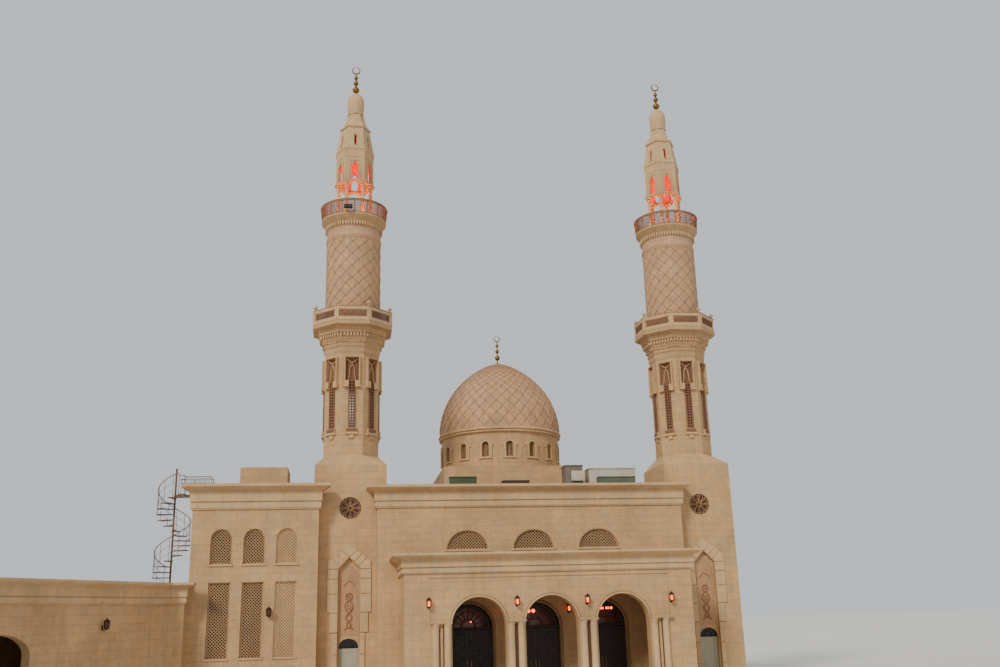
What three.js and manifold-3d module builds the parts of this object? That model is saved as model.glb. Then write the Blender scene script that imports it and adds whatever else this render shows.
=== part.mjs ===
// A two-minaret mosque building: prayer hall with a central dome, a three-arched
// portico, a side wing and a low annex with a spiral stair to the wing's roof.
// Millimetres, +Z up. The front faces -Y. The origin is on the ground below the dome's crown.
import * as THREE from 'three';
import { mergeVertices } from 'three/addons/utils/BufferGeometryUtils.js';
import Module from 'manifold-3d';

const wasm = await Module();
wasm.setup();

// ---------------------------------------------------------------- driving dimensions
const GAP = 0.3;                 // clearance between touching pieces
const SLAB = 150;                // ground slab
const WALL = 400;                // masonry wall
const FRONT = -8780;             // outer face of the hall's and the wing's front wall
const REAR = 8750;
const BLOCK_HALF = 6850;         // half width of the front block between the minarets
const HALL_RIGHT = 9000;
const WING_LEFT = -14570;
const WING_RIGHT = -9330;
const WALL_TOP = 8400;
const ROOF_TOP = 8600;

const TOWER_X = 8000;            // minaret axes
const TOWER_Y = -6500;
const TOWER_HALF = 1578;         // square base
const TOWER_INNER = 1130;
const TOWER_TOP = 9910;
const BROACH_TOP = 10430;

const DOOR_SPACING = 2935;       // doorways, arches and lunettes share it
const DOOR_HALF = 1010;
const DOOR_SPRING = 2820;
const LUNETTE_R = 910;
const LUNETTE_Z = 6110;

const PORTICO_FRONT = -12100;
const PORTICO_HALF = 5890;
const PORTICO_TOP = 5380;
const PORTICO_ROOF = 5580;
const ARCH_HALF = 1085;
const ARCH_SPRING = 2960;

const WIN_W = 890;               // wing windows
const WIN_STEP = 1350;
const WIN_MID = -11980;
const LOW_Z = [1930, 4930];
const HIGH_Z = [5680, 6690];     // sill and springing

const DOME_R = 3200;
const DOME_TOP = 16720;

// ---------------------------------------------------------------- helpers
const bare = (geo) => {
  geo.deleteAttribute('normal');
  geo.deleteAttribute('uv');
  return mergeVertices(geo, 0.01);
};

function solid(geo) {
  const pos = geo.attributes.position.array;
  const idx = Array.from(geo.index.array);
  const tris = [];
  let vol = 0;
  for (let i = 0; i < idx.length; i += 3) {
    const [a, b, c] = [idx[i], idx[i + 1], idx[i + 2]];
    if (a === b || b === c || a === c) continue;
    tris.push(a, b, c);
    const [ax, ay, az] = [pos[3 * a], pos[3 * a + 1], pos[3 * a + 2]];
    const [bx, by, bz] = [pos[3 * b], pos[3 * b + 1], pos[3 * b + 2]];
    const [cx, cy, cz] = [pos[3 * c], pos[3 * c + 1], pos[3 * c + 2]];
    vol += ax * (by * cz - bz * cy) - ay * (bx * cz - bz * cx) + az * (bx * cy - by * cx);
  }
  if (vol < 0) for (let i = 0; i < tris.length; i += 3) [tris[i], tris[i + 1]] = [tris[i + 1], tris[i]];
  return new wasm.Manifold(new wasm.Mesh({
    numProp: 3, vertProperties: new Float32Array(pos), triVerts: new Uint32Array(tris) }));
}

function geometry(man) {
  const m = man.getMesh();
  const g = new THREE.BufferGeometry();
  g.setAttribute('position', new THREE.BufferAttribute(new Float32Array(m.vertProperties), 3));
  g.setIndex(new THREE.BufferAttribute(new Uint32Array(m.triVerts), 1));
  g.computeVertexNormals();
  return g;
}

function box(x0, x1, y0, y1, z0, z1) {
  const g = bare(new THREE.BoxGeometry(x1 - x0, y1 - y0, z1 - z0));
  g.translate((x0 + x1) / 2, (y0 + y1) / 2, (z0 + z1) / 2);
  return solid(g);
}

const shapeOf = (pts) => new THREE.Shape(pts.map(([x, y]) => new THREE.Vector2(x, y)));

// outline in plan, from z0 up to z1
function prism(pts, z0, z1) {
  const g = bare(new THREE.ExtrudeGeometry(shapeOf(pts), { depth: z1 - z0, bevelEnabled: false }));
  g.translate(0, 0, z0);
  return solid(g);
}

// outline in X and Z, between y0 and y1
function plateXZ(pts, y0, y1) {
  const g = bare(new THREE.ExtrudeGeometry(shapeOf(pts), { depth: y1 - y0, bevelEnabled: false }));
  g.rotateX(Math.PI / 2);
  g.translate(0, y1, 0);
  return solid(g);
}

// outline in Y and Z, between x0 and x1
function plateYZ(pts, x0, x1) {
  const g = bare(new THREE.ExtrudeGeometry(shapeOf(pts), { depth: x1 - x0, bevelEnabled: false }));
  g.rotateX(Math.PI / 2);
  g.rotateZ(Math.PI / 2);
  g.translate(x0, 0, 0);
  return solid(g);
}

// turned about the Z axis; sides = 4, 6 or 8 gives a prism with a face towards the front
function turned(profile, segments, flat = false) {
  const k = flat ? 1 / Math.cos(Math.PI / segments) : 1;
  const pts = profile.map(([r, z]) => new THREE.Vector2(r * k, z));
  const g = bare(new THREE.LatheGeometry(pts, segments, flat ? Math.PI / segments : 0));
  g.rotateX(Math.PI / 2);
  return solid(g);
}

const ringProfile = (list) => [...list, list[0]];

const archPts = (c, half, z0, spring, rise = half, n = 12) => {
  const pts = [[c - half, z0], [c + half, z0]];
  for (let i = 0; i <= n; i++) {
    const a = (Math.PI * i) / n;
    pts.push([c + half * Math.cos(a), spring + rise * Math.sin(a)]);
  }
  return pts;
};

const halfRing = (c, r0, r1, z, n = 14) => {
  const pts = [];
  for (let i = 0; i <= n; i++) {
    const a = (Math.PI * i) / n;
    pts.push([c + r1 * Math.cos(a), z + r1 * Math.sin(a)]);
  }
  for (let i = n; i >= 0; i--) {
    const a = (Math.PI * i) / n;
    pts.push([c + r0 * Math.cos(a), z + r0 * Math.sin(a)]);
  }
  return pts;
};

const turnZ = (man, deg) => {
  const g = geometry(man);
  g.rotateZ((deg * Math.PI) / 180);
  g.deleteAttribute('normal');
  return solid(g);
};
const shifted = (man, x, y, z) => {
  const g = geometry(man);
  g.translate(x, y, z);
  g.deleteAttribute('normal');
  return solid(g);
};

// rectangular block whose chosen sides follow a moulding profile [[z, projection], ...]
function moulded(x0, x1, y0, y1, profile, side) {
  const far = 60000;
  const run = (a, b, sa, sb) => [
    ...profile.map(([z, p]) => [b + p * sb, z]),
    ...profile.slice().reverse().map(([z, p]) => [a - p * sa, z]),
  ];
  const alongY = plateXZ(run(x0, x1, side.left ? 1 : 0, side.right ? 1 : 0), -far, far);
  const alongX = plateYZ(run(y0, y1, side.front ? 1 : 0, side.rear ? 1 : 0), -far, far);
  return alongY.intersect(alongX);
}

const entablature = (top, k = 1) => [
  [top - 960 * k, 60], [top - 905 * k, 75], [top - 905 * k, 95], [top - 710 * k, 95], [top - 690 * k, 60],
  [top - 650 * k, 60], [top - 650 * k, 125], [top - 260 * k, 125], [top - 240 * k, 190],
  [top - 205 * k, 260], [top - 160 * k, 340], [top - 110 * k, 400], [top - 110 * k, 460], [top, 460],
];

const material = (color, roughness, metalness = 0) => new THREE.MeshStandardMaterial({ color, roughness, metalness });
const stone = () => material(0xb59a72, 0.85);
const trim = () => material(0xc2a880, 0.8);
const domeStone = () => material(0xb08a68, 0.8);
const dark = () => material(0x2c2622, 0.6);
const metal = () => material(0x6b5a3c, 0.4, 0.9);
const doorWood = () => material(0x4a3a2a, 0.6);

const group = new THREE.Group();
function add(name, man, mat, parent = group) {
  const mesh = new THREE.Mesh(geometry(man), mat);
  mesh.name = name;
  parent.add(mesh);
  return mesh;
}

// ---------------------------------------------------------------- annex outline
const ANNEX_ANGLE = 60.85;                       // its long wall slants towards the street
const ANNEX_CORNER = [-15240, -9600];
const ANNEX_TOP = 4940;
const ANNEX_ROOF = 4600;
const LONG = { x0: -10300, x1: 1300, y0: 0, y1: 4500 };
const SHORT = { x0: -18000, x1: WING_LEFT - GAP, y0: -9600, y1: -5500 };
const slanted = (man) => shifted(turnZ(man, ANNEX_ANGLE), ANNEX_CORNER[0], ANNEX_CORNER[1], 0);
const annexBlock = (inset, z0, z1) =>
  slanted(box(LONG.x0 + inset, LONG.x1 - inset, LONG.y0 + inset, LONG.y1 - inset, z0, z1))
    .add(box(SHORT.x0 + inset, SHORT.x1 - inset, SHORT.y0 + inset, SHORT.y1 - inset, z0, z1));

// ---------------------------------------------------------------- ground slab
let slab = box(WING_LEFT, HALL_RIGHT, FRONT, REAR, 0, SLAB)
  .subtract(box(WING_RIGHT, HALL_RIGHT + 10, FRONT - 10, TOWER_Y + TOWER_HALF, -10, SLAB + 10));
slab = slab.add(box(-BLOCK_HALF, BLOCK_HALF, FRONT, TOWER_Y + TOWER_HALF + 5, 0, SLAB));
for (const s of [-1, 1]) {
  const x = s * TOWER_X;
  slab = slab.add(box(x - TOWER_HALF, x + TOWER_HALF, TOWER_Y - TOWER_HALF, TOWER_Y + TOWER_HALF + 5, 0, SLAB));
}
slab = slab.add(box(-PORTICO_HALF, PORTICO_HALF, PORTICO_FRONT, FRONT + 5, 0, SLAB));
slab = slab.add(annexBlock(0, 0, SLAB).add(box(SHORT.x0 + 500, WING_LEFT + 5, SHORT.y0 + 900, SHORT.y1, 0, SLAB)));
add('ground_slab', slab, stone());

// ---------------------------------------------------------------- front block
const Z0 = SLAB + GAP;
const frontReturn = (z0, z1) => {
  const y1 = TOWER_Y - TOWER_HALF - GAP;
  return box(-BLOCK_HALF, -BLOCK_HALF + WALL, FRONT + WALL - 5, y1, z0, z1)
    .add(box(BLOCK_HALF - WALL, BLOCK_HALF, FRONT + WALL - 5, y1, z0, z1));
};
let front = box(-BLOCK_HALF, BLOCK_HALF, FRONT, FRONT + WALL, DOOR_SPRING + GAP, WALL_TOP)
  .add(frontReturn(DOOR_SPRING + GAP, WALL_TOP));
for (const i of [-1, 0, 1]) {
  const c = i * DOOR_SPACING;
  front = front.subtract(plateXZ(archPts(c, DOOR_HALF, DOOR_SPRING - 500, DOOR_SPRING), FRONT - 50, FRONT + WALL + 50));
  const lun = [];
  for (let k = 0; k <= 14; k++) {
    const a = (Math.PI * k) / 14;
    lun.push([c + LUNETTE_R * Math.cos(a), LUNETTE_Z + 820 * Math.sin(a)]);
  }
  front = front.subtract(plateXZ(lun, FRONT - 50, FRONT + WALL + 50));
}
add('front_wall', front, stone());

const edges = [-BLOCK_HALF, -DOOR_SPACING - DOOR_HALF, -DOOR_SPACING + DOOR_HALF, -DOOR_HALF,
  DOOR_HALF, DOOR_SPACING - DOOR_HALF, DOOR_SPACING + DOOR_HALF, BLOCK_HALF];
for (let i = 0; i < 4; i++) {
  let pier = box(edges[2 * i], edges[2 * i + 1], FRONT, FRONT + WALL, Z0, DOOR_SPRING);
  const y1 = TOWER_Y - TOWER_HALF - GAP;
  if (i === 0) pier = pier.add(box(-BLOCK_HALF, -BLOCK_HALF + WALL, FRONT + WALL - 5, y1, Z0, DOOR_SPRING));
  if (i === 3) pier = pier.add(box(BLOCK_HALF - WALL, BLOCK_HALF, FRONT + WALL - 5, y1, Z0, DOOR_SPRING));
  add(`front_pier_${i + 1}`, pier, stone());
}

// entrance doors: two leaves a doorway, hinged on the piers
const LEAF_Y = FRONT + 170;
const LEAF_T = 60;
[-1, 0, 1].forEach((i, n) => {
  const c = i * DOOR_SPACING;
  for (const s of [-1, 1]) {
    const xo = c + s * (DOOR_HALF - 12);
    const xi = c + s * 6;
    const [x0, x1] = [Math.min(xo, xi), Math.max(xo, xi)];
    let leaf = box(x0, x1, LEAF_Y, LEAF_Y + LEAF_T, SLAB + 12, DOOR_SPRING - 70);
    for (const [z0, z1] of [[450, 1120], [1260, 1930], [2070, 2620]]) {
      leaf = leaf.subtract(box(x0 + 130, x1 - 130, LEAF_Y - 5, LEAF_Y + 18, z0, z1))
        .subtract(box(x0 + 130, x1 - 130, LEAF_Y + LEAF_T - 18, LEAF_Y + LEAF_T + 5, z0, z1));
    }
    // pull handle beside the meeting edge
    const hx = c + s * 75;
    leaf = leaf.add(box(hx - 14, hx + 14, LEAF_Y - 50, LEAF_Y - 34, 1050, 1500))
      .add(box(hx - 10, hx + 10, LEAF_Y - 40, LEAF_Y + 4, 1080, 1110))
      .add(box(hx - 10, hx + 10, LEAF_Y - 40, LEAF_Y + 4, 1440, 1470));
    add(`entrance_door_${n + 1}_${s < 0 ? 'left' : 'right'}`, leaf, doorWood());
  }
});

// one sheet closes the fanlights above the doors, another the lunettes
add('fanlight_glass', box(-4200, 4200, FRONT + WALL + GAP, FRONT + WALL + 30, DOOR_SPRING - 50, DOOR_SPRING + 1110), dark());
add('lunette_screens', box(-4000, 4000, FRONT + WALL + GAP, FRONT + WALL + 30, LUNETTE_Z - 60, LUNETTE_Z + 900), dark());

// ---------------------------------------------------------------- side, rear and wing walls
const lowHole = (u, w = WIN_W / 2) => [[u - w, LOW_Z[0]], [u + w, LOW_Z[0]], [u + w, LOW_Z[1]], [u - w, LOW_Z[1]]];
const highHole = (u) => archPts(u, WIN_W / 2, HIGH_Z[0], HIGH_Z[1], WIN_W / 2, 10);

let wing = box(WING_LEFT, WING_RIGHT, FRONT, FRONT + WALL, Z0, WALL_TOP)
  .add(box(WING_RIGHT - WALL, WING_RIGHT, FRONT + WALL - 5, TOWER_Y - TOWER_HALF - GAP, Z0, WALL_TOP));
[-1, 0, 1].forEach((i) => {
  const u = WIN_MID + i * WIN_STEP;
  const depth = i === 1 ? 110 : WALL + 50;       // the third bay is blind
  wing = wing.subtract(plateXZ(lowHole(u), FRONT - 50, FRONT + depth))
    .subtract(plateXZ(highHole(u), FRONT - 50, FRONT + depth));
  // sills
  wing = wing.add(box(u - WIN_W / 2 - 50, u + WIN_W / 2 + 50, FRONT - 45, FRONT + 5, LOW_Z[0] - 75, LOW_Z[0]))
    .add(box(u - WIN_W / 2 - 50, u + WIN_W / 2 + 50, FRONT - 45, FRONT + 5, HIGH_Z[0] - 65, HIGH_Z[0]));
});
add('wing_front_wall', wing, stone());

const SIDE_BAYS = [-3200, -800, 1600, 4000, 6400];
const y0Side = TOWER_Y + TOWER_HALF + GAP;
let right = box(HALL_RIGHT - WALL, HALL_RIGHT, y0Side, REAR - WALL - GAP, Z0, WALL_TOP);
for (const u of SIDE_BAYS) {
  right = right.subtract(plateYZ(lowHole(u), HALL_RIGHT - WALL - 50, HALL_RIGHT + 50))
    .subtract(plateYZ(highHole(u), HALL_RIGHT - WALL - 50, HALL_RIGHT + 50));
}
add('right_wall', right, stone());

let left = box(WING_LEFT, WING_LEFT + WALL, FRONT + WALL + GAP, REAR - WALL - GAP, Z0, WALL_TOP);
for (const u of SIDE_BAYS) {
  left = left.subtract(plateYZ(lowHole(u), WING_LEFT - 50, WING_LEFT + WALL + 50))
    .subtract(plateYZ(highHole(u), WING_LEFT - 50, WING_LEFT + WALL + 50));
}
add('left_wall', left, stone());

const REAR_BAYS = [-12400, -10000, -7200, -4800, -2400, 0, 2400, 4800, 7200];
let rear = box(WING_LEFT, HALL_RIGHT, REAR - WALL, REAR, Z0, WALL_TOP);
for (const u of REAR_BAYS) {
  rear = rear.subtract(plateXZ(lowHole(u), REAR - WALL - 50, REAR + 50))
    .subtract(plateXZ(highHole(u), REAR - WALL - 50, REAR + 50));
}
add('rear_wall', rear, stone());

add('wing_inner_wall', box(-HALL_RIGHT - WALL, -HALL_RIGHT, y0Side, REAR - WALL - 31, Z0, WALL_TOP), stone());

const SCREEN_Z = [LOW_Z[0] - 80, HIGH_Z[1] + WIN_W / 2 + 80];
add('wing_window_screens', box(WIN_MID - 1950, WIN_MID + 600, FRONT + WALL + GAP, FRONT + WALL + 30, ...SCREEN_Z), dark());
add('right_window_screens', box(HALL_RIGHT - WALL - 30, HALL_RIGHT - WALL - GAP, -3800, 7000, ...SCREEN_Z), dark());
add('left_window_screens', box(WING_LEFT + WALL + GAP, WING_LEFT + WALL + 30, -3800, 7000, ...SCREEN_Z), dark());
add('rear_window_screens', box(-13000, 7800, REAR - WALL - 30, REAR - WALL - GAP, ...SCREEN_Z), dark());

// ---------------------------------------------------------------- roof and cornices
const towerClear = TOWER_HALF + GAP;
let roof = box(WING_LEFT, HALL_RIGHT, FRONT, REAR, WALL_TOP + GAP, ROOF_TOP)
  .subtract(box(BLOCK_HALF, HALL_RIGHT + 50, FRONT - 50, TOWER_Y + towerClear, WALL_TOP - 50, ROOF_TOP + 50))
  .subtract(box(WING_RIGHT, -BLOCK_HALF, FRONT - 50, TOWER_Y + towerClear, WALL_TOP - 50, ROOF_TOP + 50));
for (const s of [-1, 1]) {
  const x = s * TOWER_X;
  roof = roof.subtract(box(x - towerClear, x + towerClear, TOWER_Y - towerClear, TOWER_Y + towerClear, WALL_TOP - 50, ROOF_TOP + 50));
}
roof = roof.subtract(turned([[0, WALL_TOP - 50], [2750, WALL_TOP - 50], [2750, ROOF_TOP + 50], [0, ROOF_TOP + 50]], 24));
add('roof_slab', roof, stone());

const overRoof = (x0, x1, y0, y1, top, lip) => box(x0 + lip, x1 - lip, y0 + lip, y1 + lip, ROOF_TOP - 10, top + 50);
const FRONT_TOP = 8900;
const SIDE_TOP = 9000;
const towerFace = TOWER_Y - TOWER_HALF - GAP;
const frontCornice = moulded(-BLOCK_HALF, BLOCK_HALF, FRONT, towerFace, entablature(FRONT_TOP), { left: true, right: true, front: true })
  .subtract(box(-BLOCK_HALF - GAP, BLOCK_HALF + GAP, FRONT - GAP, towerFace + 50, 5000, ROOF_TOP + GAP))
  .subtract(overRoof(-BLOCK_HALF, BLOCK_HALF, FRONT, towerFace, FRONT_TOP, 380));
add('front_cornice', frontCornice, trim());

let sideCornice = moulded(WING_LEFT, WING_RIGHT, FRONT, towerFace, entablature(SIDE_TOP, 1.1), { left: true, right: true, front: true })
  .add(moulded(WING_LEFT, HALL_RIGHT, towerFace - 5, REAR, entablature(SIDE_TOP, 1.1), { left: true, right: true, rear: true })
    .subtract(box(WING_RIGHT, HALL_RIGHT + 3000, towerFace - 50, TOWER_Y + towerClear, 5000, SIDE_TOP + 50))
    .subtract(box(-TOWER_X - towerClear, WING_RIGHT + 50, towerFace, TOWER_Y + towerClear, 5000, SIDE_TOP + 50)));
sideCornice = sideCornice
  .subtract(box(WING_LEFT - GAP, WING_RIGHT + GAP, FRONT - GAP, towerFace + 50, 5000, ROOF_TOP + GAP))
  .subtract(box(WING_LEFT - GAP, HALL_RIGHT + GAP, towerFace - 50, REAR + GAP, 5000, ROOF_TOP + GAP))
  .subtract(box(WING_LEFT + 380, HALL_RIGHT - 380, FRONT + 380, REAR - 380, ROOF_TOP - 10, SIDE_TOP + 50))
  .subtract(box(WING_RIGHT - 380, WING_RIGHT + 5, FRONT + 900, TOWER_Y + 1000, ROOF_TOP - 10, SIDE_TOP + 50));
// way through the parapet for the stair's bridge
sideCornice = sideCornice.subtract(box(WING_LEFT - 700, WING_LEFT + 600, -7700, -6900, ROOF_TOP + 50, SIDE_TOP + 50));
add('side_cornice', sideCornice, trim());

// ---------------------------------------------------------------- portico
let arcade = box(-PORTICO_HALF, PORTICO_HALF, PORTICO_FRONT, PORTICO_FRONT + 500, Z0, PORTICO_TOP);
for (const i of [-1, 0, 1]) {
  arcade = arcade.subtract(plateXZ(archPts(i * DOOR_SPACING, ARCH_HALF, 0, ARCH_SPRING), PORTICO_FRONT - 100, PORTICO_FRONT + 600));
}
for (const i of [-1, 0, 1]) {
  arcade = arcade.add(plateXZ(halfRing(i * DOOR_SPACING, ARCH_HALF + 20, ARCH_HALF + 125, ARCH_SPRING + 20), PORTICO_FRONT - 45, PORTICO_FRONT + 5));
}
const column = turned([[0, Z0], [165, Z0], [165, 350], [138, 390], [138, 2860], [160, 2960], [160, 3060], [0, 3060]], 8);
const COLUMN_OFFSETS = [];
for (const i of [-1, 0, 1]) for (const s of [-1, 1]) {
  const jamb = i * DOOR_SPACING + s * ARCH_HALF;
  COLUMN_OFFSETS.push(jamb + s * 180);
}
COLUMN_OFFSETS.push(-DOOR_SPACING - ARCH_HALF - 650, DOOR_SPACING + ARCH_HALF + 650);
for (const x of COLUMN_OFFSETS) arcade = arcade.add(shifted(column, x, PORTICO_FRONT - 20, 0));
const abacus = (x0, x1) => box(x0, x1, PORTICO_FRONT - 215, PORTICO_FRONT + 5, 3055, 3150)
  .add(box(x0, x1, PORTICO_FRONT - 215, PORTICO_FRONT + 5, Z0, 260));
const inner = DOOR_SPACING - ARCH_HALF;
arcade = arcade.add(abacus(-DOOR_SPACING - ARCH_HALF - 900, -DOOR_SPACING - ARCH_HALF))
  .add(abacus(-inner, -ARCH_HALF)).add(abacus(ARCH_HALF, inner))
  .add(abacus(DOOR_SPACING + ARCH_HALF, DOOR_SPACING + ARCH_HALF + 900));
add('portico_arcade', arcade, stone());

const py0 = PORTICO_FRONT + 500 + GAP;
add('portico_left_wall', box(-PORTICO_HALF, -PORTICO_HALF + WALL, py0, FRONT - GAP, Z0, PORTICO_TOP), stone());
add('portico_right_wall', box(PORTICO_HALF - WALL, PORTICO_HALF, py0, FRONT - GAP, Z0, PORTICO_TOP), stone());
add('portico_roof', box(-PORTICO_HALF, PORTICO_HALF, PORTICO_FRONT, FRONT - GAP, PORTICO_TOP + GAP, PORTICO_ROOF), stone());
const PORTICO_CORNICE = 5770;
const porticoCornice = moulded(-PORTICO_HALF, PORTICO_HALF, PORTICO_FRONT, FRONT - GAP, entablature(PORTICO_CORNICE, 0.82), { left: true, right: true, front: true })
  .subtract(box(-PORTICO_HALF - GAP, PORTICO_HALF + GAP, PORTICO_FRONT - GAP, FRONT + 50, 3000, PORTICO_ROOF + GAP))
  .subtract(box(-PORTICO_HALF + 380, PORTICO_HALF - 380, PORTICO_FRONT + 380, FRONT + 50, PORTICO_ROOF - 10, PORTICO_CORNICE + 50));
add('portico_cornice', porticoCornice, trim());

// ---------------------------------------------------------------- roof pieces
add('stair_head', box(-12915, -10823, -6500, -4200, ROOF_TOP + GAP, 10070)
  .subtract(box(-12350, -11450, -4500, -4100, ROOF_TOP - 10, 9900)), stone());
add('roof_units', box(2100, 5900, -6000, -4700, ROOF_TOP + GAP, 8750)
  .add(box(2240, 3080, -5850, -4900, 8740, 10210))
  .add(box(2490, 3160, -5990, -5840, 9430, 9910))
  .add(box(3390, 5690, -5900, -4800, 8740, 10060))
  .add(box(3070, 3400, -5600, -5200, 9200, 9500)), metal());
// three glazed rooflights on one kerb behind the front parapet
add('roof_lights', box(-3620, 5260, -7600, -6900, ROOF_TOP + GAP, 8720)
  .add(box(-3555, -2305, -7500, -7000, 8715, 9460))
  .add(box(-1105, 140, -7500, -7000, 8715, 9308))
  .add(box(3440, 5180, -7500, -7000, 8715, 9425)), metal());

// ---------------------------------------------------------------- dome
const DOME_SEG = 24;
const hb = 3350, ch = 350;
add('dome_base', prism([[-hb + ch, -hb], [hb - ch, -hb], [hb, -hb + ch], [hb, hb - ch], [hb - ch, hb], [-hb + ch, hb], [-hb, hb - ch], [-hb, -hb + ch]],
  ROOF_TOP + GAP, 10560)
  .subtract(turned([[0, ROOF_TOP - 50], [2800, ROOF_TOP - 50], [2800, 10650], [0, 10650]], 24)), stone());
let drum = turned(ringProfile([[2800, 10560 + GAP], [3190, 10560 + GAP], [3190, 10700], [3135, 10740], [3135, 12330], [2800, 12330]]), DOME_SEG);
for (let k = 0; k < 16; k++) {
  drum = drum.subtract(turnZ(plateXZ(archPts(0, 180, 11090, 11690, 180, 4), -3400, -2600), k * 22.5));
}
add('dome_drum', drum, stone());
const domeOuter = [[3222, 12700], [3203, 13084], [3109, 13621], [2938, 14143], [2693, 14642], [2378, 15109],
  [1997, 15536], [1558, 15917], [1067, 16246], [533, 16517], [0, DOME_TOP]];
const domeInner = [[0, 16460], [980, 16010], [1850, 15350], [2480, 14500], [2860, 13520], [2960, 12700]];
add('dome_shell', turned([...domeInner, [2970, 12330 + GAP], [3260, 12330 + GAP], [3300, 12400], [3300, 12500],
  [3250, 12600], ...domeOuter], DOME_SEG), domeStone());

const sphere = (r, z, seg = 10) => {
  const g = bare(new THREE.SphereGeometry(r, seg, 6));
  g.rotateX(Math.PI / 2);
  g.translate(0, 0, z);
  return solid(g);
};
function crescent(r, z, open = 0.16) {
  const pts = [];
  for (let k = 0; k <= 12; k++) {
    const a = Math.PI / 2 + open + ((2 * Math.PI - 2 * open) * k) / 12;
    pts.push([r * Math.cos(a), z + r * Math.sin(a)]);
  }
  const ri = r * 0.78, up = r * 0.13;
  for (let k = 12; k >= 0; k--) {
    const a = Math.PI / 2 + open * 1.1 + ((2 * Math.PI - 2.2 * open) * k) / 12;
    pts.push([ri * Math.cos(a), z + up + ri * Math.sin(a)]);
  }
  return plateXZ(pts, -r * 0.14, r * 0.14);
}
const rod = (r, z0, z1) => turned([[0, z0], [r, z0], [r, z1], [0, z1]], 8);
add('dome_finial', rod(35, DOME_TOP + GAP, 17960).add(turned([[0, DOME_TOP + GAP], [120, DOME_TOP + GAP], [60, DOME_TOP + 120], [0, DOME_TOP + 120]], 12))
  .add(sphere(145, 17020)).add(sphere(107, 17400)).add(sphere(88, 17720)).add(crescent(175, 18110, 0.85)), metal());

// ---------------------------------------------------------------- minarets
const spread = (man, n) => {
  let out = man;
  for (let k = 1; k < n; k++) out = out.add(turnZ(man, (360 / n) * k));
  return out;
};
const cutRound = (body, tool, n) => {
  let out = body;
  for (let k = 0; k < n; k++) out = out.subtract(turnZ(tool, (360 / n) * k));
  return out;
};

// base: square, hollow, with the portal towards the front
const H = TOWER_HALF;
let base = box(-H, H, -H, H, Z0, TOWER_TOP + 5)
  .add(turned([[0, TOWER_TOP], [H, TOWER_TOP], [1230, BROACH_TOP], [0, BROACH_TOP]], 4, true)
    .intersect(turnZ(turned([[0, TOWER_TOP], [H * Math.SQRT2, TOWER_TOP], [1230, BROACH_TOP], [0, BROACH_TOP]], 4, true), 45)));
base = base.subtract(box(-TOWER_INNER, TOWER_INNER, -TOWER_INNER, TOWER_INNER, Z0 - 50, 9500))
  .subtract(turned([[0, 9400], [930, 9400], [930, BROACH_TOP + 50], [0, BROACH_TOP + 50]], 8, true));
const PORTAL = 480, PORTAL_Z = 5420;
base = base.subtract(plateXZ([[-PORTAL, 0], [PORTAL, 0], [PORTAL, PORTAL_Z], [0, 5910], [-PORTAL, PORTAL_Z]], -H - 50, -H + 160));
base = base.subtract(plateXZ(archPts(0, 420, 0, 2190, 350), -H - 50, -TOWER_INNER + 50));
const quoin = (w, z0, z1) => box(-PORTAL - w, -PORTAL, -H - 30, -H + 5, z0, z1).add(box(PORTAL, PORTAL + w, -H - 30, -H + 5, z0, z1));
const quoins = [[450, 5030, 5420], [450, 4410, 5010], [450, 3630, 4390], [330, 2800, 3610], [200, Z0, 2780]];
for (const [w, z0, z1] of quoins) {
  base = base.add(quoin(w, z0, z1));
}
base = base.add(plateXZ([[-PORTAL - 5, PORTAL_Z - 5], [0, 5905], [PORTAL + 5, PORTAL_Z - 5], [PORTAL + 300, PORTAL_Z + 180], [0, 6500], [-PORTAL - 300, PORTAL_Z + 180]], -H - 30, -H + 5));
const ROSE_Z = 8030, ROSE_R = 470;
const disc = turned([[0, 0], [ROSE_R, 0], [ROSE_R, 700], [0, 700]], 24);
const roseGeo = geometry(disc);
roseGeo.rotateX(Math.PI / 2);
roseGeo.translate(0, -H + 600, ROSE_Z);
roseGeo.deleteAttribute('normal');
base = base.subtract(solid(roseGeo));

// octagonal shaft with a niche and a slit window on each face
const A = 1235;
let octagon = turned(ringProfile([[930, BROACH_TOP + GAP], [1230, BROACH_TOP + GAP], [1237, 15150 - GAP], [930, 15150 - GAP]]), 8, true);
const frame = box(-370, 370, -1380, -A + 60, 13620, 14990)
  .add(box(-400, 400, -1380, -A + 60, 13540, 13625))
  .add(box(-250, 250, -1330, -A + 60, 11450, 11640))
  .add(box(-285, 285, -1345, -A + 60, 11370, 11455))
  .add(box(-110, 110, -1290, -A + 60, 11180, 11375));
octagon = octagon.add(spread(frame, 8));
octagon = cutRound(octagon, box(-305, 305, -1500, -1190, 13840, 14940), 8);
octagon = cutRound(octagon, box(-145, 145, -1500, -850, 11735, 13860), 8);

// lower balcony: corbelled, octagonal, with a pierced parapet
let lower = turned(ringProfile([[930, 15150], [1250, 15150], [1290, 15630], [1370, 15790], [1465, 15990], [1600, 16290], [1620, 16360],
  [1790, 16400], [1845, 16400], [1845, 17280], [1745, 17280], [1745, 16520], [930, 16520]]), 8, true);
lower = cutRound(lower, box(-610, 610, -2000, -1690, 16700, 17125), 8);

// round shaft
const round = turned(ringProfile([[950, 16520 + GAP], [1340, 16520 + GAP], [1340, 16620], [1286, 16660], [1286, 20980], [1335, 21040],
  [1290, 21110], [1290, 21540 - GAP], [950, 21540 - GAP]]), 24);

// upper balcony
let upper = turned(ringProfile([[500, 21900], [950, 21540], [1310, 21540], [1355, 21730], [1550, 21990], [1568, 22060],
  [1628, 22760], [1545, 22760], [1495, 22120], [500, 22120]]), 24);
upper = cutRound(upper, box(-500, 500, -1700, -1400, 22190, 22620), 8);
const LANTERN_Z = 22120 + GAP;

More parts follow.
